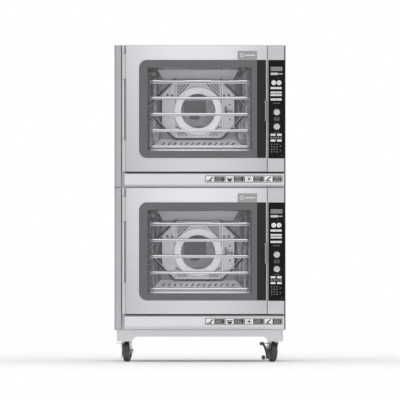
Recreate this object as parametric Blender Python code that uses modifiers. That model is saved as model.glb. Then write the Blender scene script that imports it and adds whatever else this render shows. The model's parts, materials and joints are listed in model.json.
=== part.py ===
"""Two combi steamer ovens stacked on a low stand with four swivel casters.

Metres, +Z up. The origin is on the floor, under the middle of the stack, and the doors face -Y.
Each oven is the same set of parts, built once per floor height by build_oven(). A part that moves is
parented to an empty that sits on the axis of its joint.
"""

import math

import bmesh
import bpy
from mathutils import Matrix, Vector

# ---------------------------------------------------------------- driving dimensions
WIDTH = 0.906  # outside width of an oven
OVEN_HEIGHT = 0.755  # pitch of the stack
STAND_TOP = 0.170  # floor to the underside of the lower oven
FRONT = -0.415  # face of the doors, columns and fascias
CASING_FRONT = -0.365
CASING_BACK = 0.400
PIPE_END = 0.4345

SHEET = 0.0015  # stainless sheet
GAP = 0.0003  # between pieces that rest on each other
HALF = WIDTH / 2

# Cavity, inside faces
CAVITY_HALF = 0.300
CAVITY_FLOOR = 0.185
CAVITY_ROOF = 0.655
CAVITY_BACK = 0.235

# Door, heights above the oven's underside
DOOR_LEFT, DOOR_RIGHT = -0.3917, 0.3552
DOOR_BOTTOM, DOOR_TOP = 0.084, 0.752
DOOR_BACK = -0.3735
DOOR_SKIN = 0.002
GLASS_LEFT, GLASS_RIGHT = -0.3225, 0.3495
GLASS_BOTTOM, GLASS_TOP = 0.1567, 0.6755
GLASS_CORNER = 0.042
GLASS_THICK = 0.0057
WINDOW = (-0.2777, 0.1945, 0.2735, 0.6350)

# Door hinge: four knuckles on one pin, the second and the lowest ones on the door
HINGE_X, HINGE_Y = -0.406, -0.4085
KNUCKLE_R, PIN_R = 0.0065, 0.003
FIXED_KNUCKLES = ((0.2550, 0.5730), (0.7090, 0.7520))
DOOR_KNUCKLES = ((0.0850, 0.2530), (0.5750, 0.7070))

# Door handle: a flap lever on a pin inside the door's free edge
HANDLE_X = 0.348
HANDLE_PIN_Y, HANDLE_PIN_Z = -0.403, 0.452
HANDLE_BOTTOM, HANDLE_TOP = 0.351, 0.461
HANDLE_FRONT, HANDLE_REAR = -0.429, -0.419

# Control column
COLUMN_LEFT, COLUMN_RIGHT = 0.3590, 0.4505
PANEL = (0.3600, 0.1540, 0.4500, 0.6758)
PANEL_FRONT = FRONT - 0.0020
KNOB_X, KNOB_R, KNOB_FRONT = 0.407, 0.017, -0.4345
KNOB_HEIGHTS = {"knob_time": 0.3986, "knob_temperature": 0.3222}
BUTTON_R, BUTTON_Z = 0.013, 0.555
BUTTONS_X = {"button_start": 0.3911, "button_stop": 0.4192}
BUTTON_TRAVEL = 0.002
SPINDLE_END = -0.400

# Air louvres in the casing's sides and back
LOUVRE_ROWS, LOUVRE_PITCH = 4, 0.030

# Lower fascia
FASCIA = (-0.3996, 0.0027, 0.4457, 0.0715)
FASCIA_BEVEL = 0.0158

# Fan, baffle and heater
FAN_X, FAN_Z = -0.0100, 0.409
BAFFLE_Y, BAFFLE_LIP_Y = 0.150, 0.095
BAFFLE_HALF_X, BAFFLE_LOW, BAFFLE_HIGH = 0.210, 0.246, 0.577
FAN_INLET_R, FAN_RING_R = 0.091, 0.130
FAN_R = 0.104
HEATER_R, HEATER_TUBE_R = 0.130, 0.004
HEATER_LEAD = 0.022  # how far the first lead stands outside the turns
SHAFT_R = 0.008

# Racks
RACK_HALF = 0.272
RACK_FRONT, RACK_REAR = -0.340, 0.085
RACK_WIRE = 0.005
LEDGE_THICK = 0.003
RACK_PITCH = 0.0864
FIRST_RACK = 0.2189
RACKS = 5

# Stand and casters
STAND_HALF = 0.4404
STAND_FRONT, STAND_BACK = -0.362, 0.397
RAIL_LOW = 0.1340
LEG_WIDTH, LEG_LOW, LEG_CHAMFER = 0.090, 0.108, 0.016
CASTER_PLATE_LOW = 0.1300
WHEEL_R, WHEEL_WIDTH, WHEEL_SIDES = 0.052, 0.032, 20
CASTER_TRAIL = 0.028
CASTER_X = 0.392
CASTER_INSET = 0.049  # from the stand's front or back face to the swivel axis
AXLE_R = 0.0055
FORK_PLATE = 0.003
BRAKE_REACH = {  # how far the upper and lower foot tabs stand out from the pedal plate
    "front_left": (0.030, 0.030),
    "front_right": (0.054, 0.042),
}

COLOURS = {
    "steel": ((0.72, 0.73, 0.74), 0.32, 1.0),
    "liner_steel": ((0.62, 0.63, 0.64), 0.28, 1.0),
    "zinc": ((0.60, 0.61, 0.63), 0.40, 1.0),
    "chrome_wire": ((0.80, 0.81, 0.82), 0.18, 1.0),
    "heater_alloy": ((0.30, 0.29, 0.28), 0.50, 1.0),
    "motor_paint": ((0.12, 0.13, 0.14), 0.55, 0.0),
    "glass": ((0.25, 0.26, 0.28), 0.08, 0.0),
    "panel_black": ((0.03, 0.03, 0.03), 0.25, 0.0),
    "key_white": ((0.85, 0.85, 0.84), 0.40, 0.0),
    "silicone": ((0.05, 0.05, 0.05), 0.70, 0.0),
    "tyre_rubber": ((0.09, 0.09, 0.10), 0.75, 0.0),
}


# ---------------------------------------------------------------- scene helpers
def clear_scene():
    for obj in list(bpy.data.objects):
        bpy.data.objects.remove(obj, do_unlink=True)


def new_collection(name):
    collection = bpy.data.collections.new(name)
    bpy.context.scene.collection.children.link(collection)
    return collection


def new_material(name, colour, roughness, metallic):
    material = bpy.data.materials.new(name)
    material.use_nodes = True
    shader = material.node_tree.nodes["Principled BSDF"]
    shader.inputs["Base Color"].default_value = (*colour, 1)
    shader.inputs["Roughness"].default_value = roughness
    shader.inputs["Metallic"].default_value = metallic
    return material


clear_scene()
MODEL = new_collection("combi_steamer_stack")
CUTTERS = new_collection("cutters_and_joins")
MATERIALS = {name: new_material(name, *look) for name, look in COLOURS.items()}


def add_object(name, mesh, location, material):
    mesh.materials.append(MATERIALS[material])
    obj = bpy.data.objects.new(name, mesh)
    obj.location = location
    MODEL.objects.link(obj)
    return obj


def from_bmesh(name, bm, location, material, smooth=False):
    mesh = bpy.data.meshes.new(name)
    bm.to_mesh(mesh)
    bm.free()
    if smooth:
        mesh.shade_smooth()
        mesh.set_sharp_from_angle(angle=math.radians(35))
    return add_object(name, mesh, location, material)


def block(name, low, high, material="steel"):
    """A box from its lowest corner to its highest."""
    low, high = Vector(low), Vector(high)
    bm = bmesh.new()
    bmesh.ops.create_cube(bm, size=1, matrix=Matrix.Diagonal((*(high - low), 1)))
    return from_bmesh(name, bm, (low + high) / 2, material)


def blocks(name, pairs, material="steel"):
    """Several separate boxes in one object, for a cutter."""
    bm = bmesh.new()
    for low, high in pairs:
        low, high = Vector(low), Vector(high)
        place = Matrix.Translation((low + high) / 2) @ Matrix.Diagonal((*(high - low), 1))
        bmesh.ops.create_cube(bm, size=1, matrix=place)
    return from_bmesh(name, bm, (0, 0, 0), material)


def rod(name, start, end, radius, material="steel", sides=24):
    """A cylinder from one point to another."""
    start, end = Vector(start), Vector(end)
    way = end - start
    turn = Vector((0, 0, 1)).rotation_difference(way).to_matrix().to_4x4()
    bm = bmesh.new()
    bmesh.ops.create_cone(
        bm, cap_ends=True, segments=sides, radius1=radius, radius2=radius, depth=way.length, matrix=turn
    )
    return from_bmesh(name, bm, (start + end) / 2, material, smooth=True)


def turned(name, profile, centre, toward, material="steel", steps=32, closed=False):
    """A turned shape: profile points are (radius, height), running down the outside from the top."""
    points = [(radius, 0, height) for radius, height in profile]
    edges = [(i, i + 1) for i in range(len(points) - 1)]
    if closed:
        edges.append((len(points) - 1, 0))
    mesh = bpy.data.meshes.new(name)
    mesh.from_pydata(points, edges, [])
    obj = add_object(name, mesh, centre, material)
    obj.rotation_euler = Vector((0, 0, 1)).rotation_difference(Vector(toward)).to_euler()
    screw = obj.modifiers.new("turn", "SCREW")
    screw.steps = screw.render_steps = steps
    screw.use_merge_vertices = True
    screw.merge_threshold = 0.00001
    screw.use_smooth_shade = True
    return obj


PLANES = {
    "XY": Matrix.Identity(4),
    "XZ": Matrix(((1, 0, 0, 0), (0, 0, -1, 0), (0, 1, 0, 0), (0, 0, 0, 1))),
    "YZ": Matrix(((0, 0, 1, 0), (1, 0, 0, 0), (0, 1, 0, 0), (0, 0, 0, 1))),
}
NORMALS = {"XY": Vector((0, 0, 1)), "XZ": Vector((0, 1, 0)), "YZ": Vector((1, 0, 0))}


def plate(name, outlines, near, far, plane, material="steel"):
    """A flat outline with holes, given thickness from near to far along the plane's normal."""
    curve = bpy.data.curves.new(name, "CURVE")
    curve.dimensions = "2D"
    curve.fill_mode = "BOTH"
    curve.extrude = abs(far - near) / 2
    for outline in outlines:
        spline = curve.splines.new("POLY")
        spline.points.add(len(outline) - 1)
        for point, (a, b) in zip(spline.points, outline):
            point.co = (a, b, 0, 1)
        spline.use_cyclic_u = True
    guide = bpy.data.objects.new(name + "_guide", curve)
    MODEL.objects.link(guide)
    graph = bpy.context.evaluated_depsgraph_get()
    mesh = bpy.data.meshes.new_from_object(guide.evaluated_get(graph))
    bpy.data.objects.remove(guide)
    bm = bmesh.new()
    bm.from_mesh(mesh)
    bmesh.ops.remove_doubles(bm, verts=bm.verts, dist=0.00001)
    bm.transform(PLANES[plane])
    bmesh.ops.recalc_face_normals(bm, faces=bm.faces)
    bm.to_mesh(mesh)
    bm.free()
    mesh.name = name
    return add_object(name, mesh, NORMALS[plane] * (near + far) / 2, material)


def shell(name, low, high, open_side, thickness, material="steel", outward=False):
    """A five-sided sheet box, open at the side whose outward direction is open_side."""
    obj = block(name, low, high, material)
    bm = bmesh.new()
    bm.from_mesh(obj.data)
    bm.normal_update()
    mouth = [face for face in bm.faces if face.normal.dot(Vector(open_side)) > 0.9]
    bmesh.ops.delete(bm, geom=mouth, context="FACES_ONLY")
    bm.to_mesh(obj.data)
    bm.free()
    solid = obj.modifiers.new("sheet", "SOLIDIFY")
    solid.thickness = thickness
    solid.offset = 1 if outward else -1
    solid.use_even_offset = True
    return obj


def combine(target, operation, *others):
    for other in others:
        modifier = target.modifiers.new(operation.lower(), "BOOLEAN")
        modifier.operation = operation
        modifier.object = other
        MODEL.objects.unlink(other)
        CUTTERS.objects.link(other)
        other.hide_render = True
        other.display_type = "WIRE"
    return target


def join(target, *others):
    return combine(target, "UNION", *others)


def cut(target, *others):
    return combine(target, "DIFFERENCE", *others)


def soften(obj, width, segments=2):
    bevel = obj.modifiers.new("edges", "BEVEL")
    bevel.width = width
    bevel.segments = segments
    bevel.limit_method = "ANGLE"
    return obj


def pivot(name, location, turn=0.0):
    empty = bpy.data.objects.new(name, None)
    empty.location = location
    empty.rotation_euler.z = turn
    empty.empty_display_size = 0.03
    MODEL.objects.link(empty)
    return empty


def hang(obj, empty):
    """Parents an object built in place, and its Boolean operands, to an unturned empty."""
    operands = [modifier.object for modifier in obj.modifiers if modifier.type == "BOOLEAN"]
    for each in [obj, *operands]:
        each.parent = empty
        each.matrix_parent_inverse = Matrix.Translation(-empty.location)
    return obj


def attach(obj, empty):
    """Parents an object built about the empty's own origin, so it takes the empty's turn."""
    operands = [modifier.object for modifier in obj.modifiers if modifier.type == "BOOLEAN"]
    for each in [obj, *operands]:
        each.parent = empty
    return obj


# ---------------------------------------------------------------- outlines
def arc(centre_a, centre_b, radius, start, end, steps):
    """Points on an arc, angles in degrees."""
    angles = [math.radians(start + (end - start) * i / steps) for i in range(steps + 1)]
    return [(centre_a + radius * math.cos(t), centre_b + radius * math.sin(t)) for t in angles]


def rectangle(a0, b0, a1, b1, radii=(0, 0, 0, 0), steps=5):
    """Corners run lower left, lower right, upper right, upper left, each with its own radius."""
    corners = ((a0, b0, 1, 1, 180), (a1, b0, -1, 1, 270), (a1, b1, -1, -1, 0), (a0, b1, 1, -1, 90))
    points = []
    for (a, b, inward_a, inward_b, start), radius in zip(corners, radii):
        if radius:
            centre = (a + inward_a * radius, b + inward_b * radius)
            points += arc(*centre, radius, start, start + 90, steps)
        else:
            points.append((a, b))
    return points


def slanted_slot(centre_a, centre_b, length, width, angle):
    """A rectangle turned by an angle in degrees."""
    along = Vector((math.cos(math.radians(angle)), math.sin(math.radians(angle))))
    across = Vector((-along.y, along.x))
    middle = Vector((centre_a, centre_b))
    signs = ((-1, -1), (1, -1), (1, 1), (-1, 1))
    return [tuple(middle + along * length / 2 * s + across * width / 2 * t) for s, t in signs]


# ---------------------------------------------------------------- oven body
def build_casing(name, base):
    """The outer wrapper: sides, top, bottom and back in one sheet shell, open at the front."""
    low = (-HALF, CASING_FRONT, base)
    high = (HALF, CASING_BACK, base + OVEN_HEIGHT - 2 * GAP)
    casing = shell(name, low, high, (0, -1, 0), SHEET)
    louvres = []
    for side in (-1, 1):
        for row in range(LOUVRE_ROWS):
            z = base + 0.10 + LOUVRE_PITCH * row
            x = side * HALF
            louvres.append(((x - 0.01, 0.22, z), (x + 0.01, 0.34, z + 0.008)))
    for column in (-0.30, 0.12):
        for row in range(LOUVRE_ROWS):
            z = base + 0.48 + LOUVRE_PITCH * row
            louvres.append(((column, CASING_BACK - 0.01, z), (column + 0.18, CASING_BACK + 0.01, z + 0.008)))
    cut(casing, blocks(name + "_louvres", louvres))
    pipes = ((-0.33, 0.06, 0.020), (0.30, 0.07, 0.011), (0.37, 0.07, 0.011))
    for x, z, radius in pipes:
        start = (x, CASING_BACK - SHEET / 2, base + z)
        join(casing, rod(name + "_pipe", start, (x, PIPE_END, base + z), radius, sides=14))
    for x, z, radius in pipes:
        bore_from = (x, CASING_BACK - 0.01, base + z)
        bore_to = (x, PIPE_END + 0.01, base + z)
        cut(casing, rod(name + "_pipe_bore", bore_from, bore_to, radius - 0.002, sides=10))
    return casing


def build_front_frame(name, base):
    """The front plate behind the door, with the fixed hinge knuckles and their pin."""
    inset = SHEET + GAP
    outer = rectangle(-HALF + inset, base + inset, HALF - inset, base + OVEN_HEIGHT - inset - 2 * GAP)
    opening = rectangle(
        -CAVITY_HALF, base + CAVITY_FLOOR, CAVITY_HALF, base + CAVITY_ROOF, radii=(0.012,) * 4
    )
    frame = plate(name, (outer, opening), CASING_FRONT, CASING_FRONT + 0.002, "XZ")
    for low, high in FIXED_KNUCKLES:
        arm_low = (HINGE_X - KNUCKLE_R, HINGE_Y, base + low)
        arm_high = (HINGE_X + KNUCKLE_R, CASING_FRONT + 0.001, base + high)
        arm = block(name + "_hinge_arm", arm_low, arm_high)
        ends = (HINGE_X, HINGE_Y, base + low), (HINGE_X, HINGE_Y, base + high)
        knuckle = rod(name + "_knuckle", *ends, KNUCKLE_R, sides=14)
        join(frame, arm, knuckle)
    pin = rod(
        name + "_pin",
        (HINGE_X, HINGE_Y, base + DOOR_KNUCKLES[0][0] + 0.002),
        (HINGE_X, HINGE_Y, base + FIXED_KNUCKLES[1][1] - 0.004),
        PIN_R,
        sides=12,
    )
    return join(frame, pin, fold_fascia(name + "_fascia", base))


def fold_fascia(name, base):
    """The panel below the door, folded forward from the front frame, with an air slot underneath."""
    x0, z0, x1, z1 = FASCIA
    back = CASING_FRONT + 0.001

    def section(inset, rear):
        return (
            (rear, base + z1 - inset),
            (FRONT + inset, base + z1 - inset),
            (FRONT + inset, base + z0 + FASCIA_BEVEL),
            (FRONT + FASCIA_BEVEL + inset, base + z0 + inset),
            (rear, base + z0 + inset),
        )

    fascia = plate(name, (section(0, back),), x0, x1, "YZ")
    hollow = plate(name + "_hollow", (section(0.002, back + 0.01),), x0 + 0.002, x1 - 0.002, "YZ")
    slot = block(name + "_slot", (x0 + 0.05, -0.392, base - 0.01), (x1 - 0.05, -0.372, base + z0 + 0.01))
    return cut(fascia, hollow, slot)


def build_cavity(name, base):
    """The cooking chamber's liner, with its drain and the holes for the fan shaft and the heater."""
    low = (-CAVITY_HALF, CASING_FRONT + 0.002 + GAP, base + CAVITY_FLOOR)
    high = (CAVITY_HALF, CAVITY_BACK, base + CAVITY_ROOF)
    liner = shell(name, low, high, (0, -1, 0), SHEET, "liner_steel", outward=True)
    holes = [(FAN_X, FAN_Z, SHAFT_R + 0.003)]
    lead_x = (FAN_X - HEATER_R, FAN_X + HEATER_R + HEATER_LEAD)
    holes += [(x, FAN_Z, HEATER_TUBE_R + 0.002) for x in lead_x]
    for x, z, radius in holes:
        start, end = (x, CAVITY_BACK - 0.02, base + z), (x, CAVITY_BACK + 0.02, base + z)
        cut(liner, rod(name + "_hole", start, end, radius, sides=12))
    floor = base + CAVITY_FLOOR
    drain = rod(name + "_drain", (0, 0.02, floor - 0.02), (0, 0.02, floor + 0.02), 0.026, sides=16)
    return cut(liner, drain)


def build_baffle(name, base):
    """The air baffle: a flat plate with flared lips, a grille over the fan inlet and corner louvres."""
    middle_x, middle_z = FAN_X, base + FAN_Z
    low, high = base + BAFFLE_LOW, base + BAFFLE_HIGH
    outlines = [rectangle(middle_x - BAFFLE_HALF_X, low, middle_x + BAFFLE_HALF_X, high)]
    slots, slot_width = 7, 0.0170
    grille_r = FAN_INLET_R - 0.004
    for i in range(slots):
        offset = (i - (slots - 1) / 2) * 2 * grille_r / (slots + 0.4)
        length = 2 * math.sqrt(grille_r**2 - (abs(offset) + slot_width / 2) ** 2)
        across = offset / math.sqrt(2)
        outlines.append(slanted_slot(middle_x - across, middle_z + across, length, slot_width, 45))
    for quarter in range(4):
        angle = 45 + 90 * quarter
        for step in range(3):
            reach = FAN_RING_R + 0.012 + 0.0120 * step
            a = middle_x + reach * math.cos(math.radians(angle))
            b = middle_z + reach * math.sin(math.radians(angle))
            outlines.append(slanted_slot(a, b, 0.062, 0.0045, angle + 90))
    baffle = plate(name, outlines, BAFFLE_Y - 0.001, BAFFLE_Y + 0.001, "XZ", "liner_steel")

    bm = bmesh.new()
    bmesh.ops.create_cone(bm, cap_ends=False, segments=4, radius1=1, radius2=2, depth=1)
    lip = 0.010
    for vert in bm.verts:
        wide = vert.co.z > 0
        sign_x = 1 if vert.co.x + vert.co.y > 0 else -1
        sign_z = 1 if vert.co.y - vert.co.x > 0 else -1
        if wide:
            x = sign_x * (CAVITY_HALF - lip)
            z = base + (CAVITY_ROOF - lip if sign_z > 0 else CAVITY_FLOOR + lip)
            vert.co = (x, BAFFLE_LIP_Y, z)
        else:
            x = middle_x + sign_x * (BAFFLE_HALF_X - 0.002)
            z = high - 0.002 if sign_z > 0 else low + 0.002
            vert.co = (x, BAFFLE_Y, z)
    bmesh.ops.recalc_face_normals(bm, faces=bm.faces)
    lips = from_bmesh(name + "_lips", bm, (0, 0, 0), "liner_steel")
    sheet = lips.modifiers.new("sheet", "SOLIDIFY")
    sheet.thickness = SHEET
    sheet.offset = 0
    ring_profile = (
        (FAN_INLET_R, 0.012),
        (FAN_RING_R - 0.006, 0.009),
        (FAN_RING_R, -0.0005),
        (FAN_INLET_R, -0.0005),
    )
    centre = (middle_x, BAFFLE_Y - 0.001, middle_z)
    ring = turned(name + "_ring", ring_profile, centre, (0, -1, 0), "liner_steel", steps=32, closed=True)
    return join(baffle, lips, ring)


def build_fan(name, base):
    """The radial fan wheel on its motor shaft."""
    axis_z = base + FAN_Z
    plate_y, front_y, shaft_end = 0.212, 0.168, 0.320
    profile = (
        (0, plate_y - front_y - 0.004),
        (0.018, plate_y - front_y - 0.004),
        (0.018, 0.002),
        (FAN_R, 0.002),
        (FAN_R, 0),
        (SHAFT_R, 0),
        (SHAFT_R, plate_y - shaft_end),
        (0, plate_y - shaft_end),
    )
    wheel = turned(name, profile, (FAN_X, plate_y, axis_z), (0, -1, 0), "steel", steps=20)
    blades = 6
    for i in range(blades):
        angle = 2 * math.pi * i / blades
        blade = block(name + "_blade", (0.045, -0.001, 0), (FAN_R - 0.003, 0.001, plate_y - front_y))
        blade.location = blade.location.x, 0, blade.location.z
        turn = Matrix.Translation((FAN_X, plate_y, axis_z)) @ Matrix.Rotation(math.radians(90), 4, "X")
        lean = Matrix.Rotation(math.radians(25), 4, "Z")
        local = Matrix.Translation(((0.045 + FAN_R) / 2, 0, (plate_y - front_y) / 2))
        blade.matrix_world = turn @ Matrix.Rotation(angle, 4, "Z") @ local @ lean
        join(wheel, blade)
    return hang(wheel, pivot(name + "_axis", (FAN_X, plate_y, axis_z)))


def build_motor(name, base):
    """The fan motor behind the cavity, with a through bore for the shaft."""
    start = CAVITY_BACK + SHEET + GAP
    length, bore = 0.105, SHAFT_R + 0.001
    profile = (
        (bore, length),
        (0.030, length),
        (0.052, length - 0.012),
        (0.055, 0.014),
        (0.072, 0.010),
        (0.072, 0),
        (bore, 0),
    )
    centre = (FAN_X, start, base + FAN_Z)
    return turned(name, profile, centre, (0, 1, 0), "motor_paint", steps=20, closed=True)


def build_heater(name, base):
    """The tubular heater: two turns round the fan wheel, its ends leaving through the back wall."""
    turns, per_turn = 2, 12
    front_y, rear_y = 0.176, 0.206
    end_y = CAVITY_BACK + SHEET + 0.012
    curve = bpy.data.curves.new(name, "CURVE")
    curve.dimensions = "3D"
    curve.bevel_depth = HEATER_TUBE_R
    curve.bevel_resolution = 1
    curve.use_fill_caps = True
    steps = turns * per_turn + per_turn // 2
    points = []
    for i in range(steps + 1):
        angle = 2 * math.pi * i / per_turn
        y = front_y + (rear_y - front_y) * i / steps
        points.append((FAN_X + HEATER_R * math.cos(angle), y, base + FAN_Z + HEATER_R * math.sin(angle)))
    first, last = points[0], points[-1]
    lead_x = first[0] + HEATER_LEAD
    points = [(lead_x, end_y, first[2]), (lead_x, front_y + 0.002, first[2]), *points]
    points.append((last[0], end_y, last[2]))
    spline = curve.splines.new("POLY")
    spline.points.add(len(points) - 1)
    for point, place in zip(spline.points, points):
        point.co = (*place, 1)
    curve.materials.append(MATERIALS["heater_alloy"])
    heater = bpy.data.objects.new(name, curve)
    MODEL.objects.link(heater)
    return heater


def build_ladder(name, base, side):
    """One rack support: an upright sheet against the side wall with a ledge for each rack."""
    wall, face, ledge = CAVITY_HALF - GAP, CAVITY_HALF - 0.0018, RACK_HALF - 0.010
    low, high = base + CAVITY_FLOOR + 0.015, base + CAVITY_ROOF - 0.060
    outline = [(side * wall, low), (side * face, low)]
    for i in range(RACKS):
        top = base + FIRST_RACK + RACK_PITCH * i - RACK_WIRE / 2 - GAP
        bottom = top - LEDGE_THICK
        outline += [(side * face, bottom), (side * ledge, bottom), (side * ledge, top), (side * face, top)]
    outline += [(side * face, high), (side * wall, high)]
    return plate(name, (outline,), RACK_FRONT + 0.010, RACK_REAR - 0.005, "XZ", "chrome_wire")


def build_rack(name, base, level):
    """A wire shelf: a rim with bars running front to back."""
    z = base + FIRST_RACK + RACK_PITCH * level
    rim, bars = 0.006, 8
    outlines = [rectangle(-RACK_HALF, RACK_FRONT, RACK_HALF, RACK_REAR, radii=(0.012,) * 4, steps=2)]
    cell = (2 * RACK_HALF - rim) / (bars + 1)
    for i in range(bars + 1):
        x0 = -RACK_HALF + rim + cell * i
        outlines.append(rectangle(x0, RACK_FRONT + rim, x0 + cell - rim, RACK_REAR - rim))
    return plate(name, outlines, z - RACK_WIRE / 2, z + RACK_WIRE / 2, "XY", "chrome_wire")


def build_gasket(name, base):
    """The silicone seal round the cavity's mouth."""
    outer = rectangle(
        -CAVITY_HALF - 0.028, base + CAVITY_FLOOR - 0.026, CAVITY_HALF + 0.028, base + CAVITY_ROOF + 0.026,
        radii=(0.030,) * 4, steps=3,
    )
    inner = rectangle(
        -CAVITY_HALF - 0.008, base + CAVITY_FLOOR - 0.007, CAVITY_HALF + 0.008, base + CAVITY_ROOF + 0.007,
        radii=(0.014,) * 4, steps=3,
    )
    return plate(name, (outer, inner), DOOR_BACK + GAP, CASING_FRONT - GAP, "XZ", "silicone")


# ---------------------------------------------------------------- door
def build_door_frame(name, base):
    """The hollow door pan with a rebate for the glass, the window opening and its hinge knuckles."""
    x0, z0, x1, z1 = WINDOW
    corners = (0.003,) * 4
    outer = rectangle(DOOR_LEFT, base + DOOR_BOTTOM, DOOR_RIGHT, base + DOOR_TOP, radii=corners, steps=2)
    window = rectangle(x0, base + z0, x1, base + z1, radii=(0.010,) * 4)
    frame = plate(name, (outer, window), FRONT, DOOR_BACK, "XZ")
    rebate_floor = FRONT + GLASS_THICK + 2 * GAP
    edge = GAP
    rebate = rectangle(
        GLASS_LEFT - edge, base + GLASS_BOTTOM - edge, GLASS_RIGHT + edge, base + GLASS_TOP + edge,
        radii=(GLASS_CORNER, 0.003, 0.003, GLASS_CORNER), steps=8,
    )
    cut(frame, plate(name + "_rebate", (rebate,), FRONT - 0.01, rebate_floor, "XZ"))

    hollow_outer = rectangle(
        DOOR_LEFT + DOOR_SKIN, base + DOOR_BOTTOM + DOOR_SKIN,
        DOOR_RIGHT - DOOR_SKIN, base + DOOR_TOP - DOOR_SKIN,
    )
    hollow_inner = rectangle(
        x0 - DOOR_SKIN, base + z0 - DOOR_SKIN, x1 + DOOR_SKIN, base + z1 + DOOR_SKIN, radii=(0.012,) * 4
    )
    hollow_front, hollow_back = rebate_floor + DOOR_SKIN, DOOR_BACK - DOOR_SKIN
    hollow = plate(name + "_hollow", (hollow_outer, hollow_inner), hollow_front, hollow_back, "XZ")
    vent = block(
        name + "_vent", (-0.05, -0.400, base + DOOR_TOP - 0.01), (0.05, -0.385, base + DOOR_TOP + 0.01)
    )
    slot_low = (HANDLE_X - 0.0065, FRONT - 0.01, base + HANDLE_PIN_Z - 0.0055)
    slot_high = (HANDLE_X + 0.0045, hollow_front + 0.002, base + HANDLE_PIN_Z + 0.0100)
    cut(frame, hollow, vent, block(name + "_handle_slot", slot_low, slot_high))

    pin_z = base + HANDLE_PIN_Z
    pin_from, pin_to = (HANDLE_X - 0.008, HANDLE_PIN_Y, pin_z), (DOOR_RIGHT - 0.001, HANDLE_PIN_Y, pin_z)
    join(frame, rod(name + "_handle_pin", pin_from, pin_to, 0.002, sides=12))
    for low, high in DOOR_KNUCKLES:
        leaf_low = (HINGE_X, HINGE_Y - KNUCKLE_R + 0.0005, base + low)
        leaf_high = (DOOR_LEFT + 0.001, HINGE_Y + KNUCKLE_R - 0.0005, base + high)
        ends = (HINGE_X, HINGE_Y, base + low), (HINGE_X, HINGE_Y, base + high)
        leaf = block(name + "_leaf", leaf_low, leaf_high)
        join(frame, leaf, rod(name + "_knuckle", *ends, KNUCKLE_R, sides=14))
    bore_ends = (HINGE_X, HINGE_Y, base), (HINGE_X, HINGE_Y, base + OVEN_HEIGHT)
    return cut(frame, rod(name + "_bore", *bore_ends, PIN_R + 0.0005, sides=12))


def build_door_glass(name, base):
    """The outer pane, flush in the door's face, notched behind the handle."""
    pane = rectangle(
        GLASS_LEFT, base + GLASS_BOTTOM, GLASS_RIGHT, base + GLASS_TOP,
        radii=(GLASS_CORNER, 0.002, 0.002, GLASS_CORNER), steps=8,
    )
    glass = plate(name, (pane,), FRONT + GAP, FRONT + GAP + GLASS_THICK, "XZ", "glass")
    notch_low = (HANDLE_X - 0.0065, FRONT - 0.01, base + HANDLE_PIN_Z - 0.0055)
    notch_high = (GLASS_RIGHT + 0.01, FRONT + 0.02, base + HANDLE_PIN_Z + 0.0100)
    return cut(glass, block(name + "_notch", notch_low, notch_high))


def build_handle(name, base):
    """The flap handle: a grip, a lug with the pivot barrel, and the arm that draws the latch."""
    pin_z = base + HANDLE_PIN_Z
    half = 0.0065
    grip_low = (HANDLE_X - half, HANDLE_FRONT, base + HANDLE_BOTTOM)
    grip_high = (HANDLE_X + half, HANDLE_REAR, base + HANDLE_TOP)
    handle = soften(block(name, grip_low, grip_high, "chrome_wire"), 0.002)
    lug_x0, lug_x1 = HANDLE_X - 0.005, HANDLE_X + 0.003
    lug_low = (lug_x0, HANDLE_REAR - 0.001, pin_z - 0.004)
    lug = block(name + "_lug", lug_low, (lug_x1, HANDLE_PIN_Y, pin_z + 0.004))
    barrel_ends = (lug_x0, HANDLE_PIN_Y, pin_z), (lug_x1, HANDLE_PIN_Y, pin_z)
    barrel = rod(name + "_barrel", *barrel_ends, 0.005, sides=20)
    arm_low = (lug_x0 + 0.001, HANDLE_PIN_Y - 0.001, pin_z)
    arm = block(name + "_arm", arm_low, (lug_x1 - 0.001, HANDLE_PIN_Y + 0.0045, pin_z + 0.028))
    bore_ends = (lug_x0 - 0.01, HANDLE_PIN_Y, pin_z), (lug_x1 + 0.01, HANDLE_PIN_Y, pin_z)
    join(handle, lug, barrel, arm)
    return cut(handle, rod(name + "_bore", *bore_ends, 0.0024, sides=12))


def build_door(prefix, base):
    hinge = pivot(prefix + "door_hinge_axis", (HINGE_X, HINGE_Y, base + DOOR_BOTTOM))
    hang(build_door_frame(prefix + "door_frame", base), hinge)
    hang(build_door_glass(prefix + "door_glass", base), hinge)
    lever = pivot(prefix + "door_handle_axis", (HANDLE_X, HANDLE_PIN_Y, base + HANDLE_PIN_Z))
    hang(build_handle(prefix + "door_handle", base), lever)
    lever.parent = hinge
    lever.matrix_parent_inverse = Matrix.Translation(-hinge.location)


# ---------------------------------------------------------------- controls
def spindle_holes(label, base, clearance):
    """Cutters for the knob spindles and the button shanks."""
    places = [(KNOB_X, z, 0.003) for z in KNOB_HEIGHTS.values()]
    places += [(x, BUTTON_Z, 0.005) for x in BUTTONS_X.values()]
    cutters = []
    for x, z, radius in places:
        start, end = (x, FRONT - 0.02, base + z), (x, FRONT + 0.008, base + z)
        cutters.append(rod(label + "_hole", start, end, radius + clearance, sides=12))
    return cutters


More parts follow.
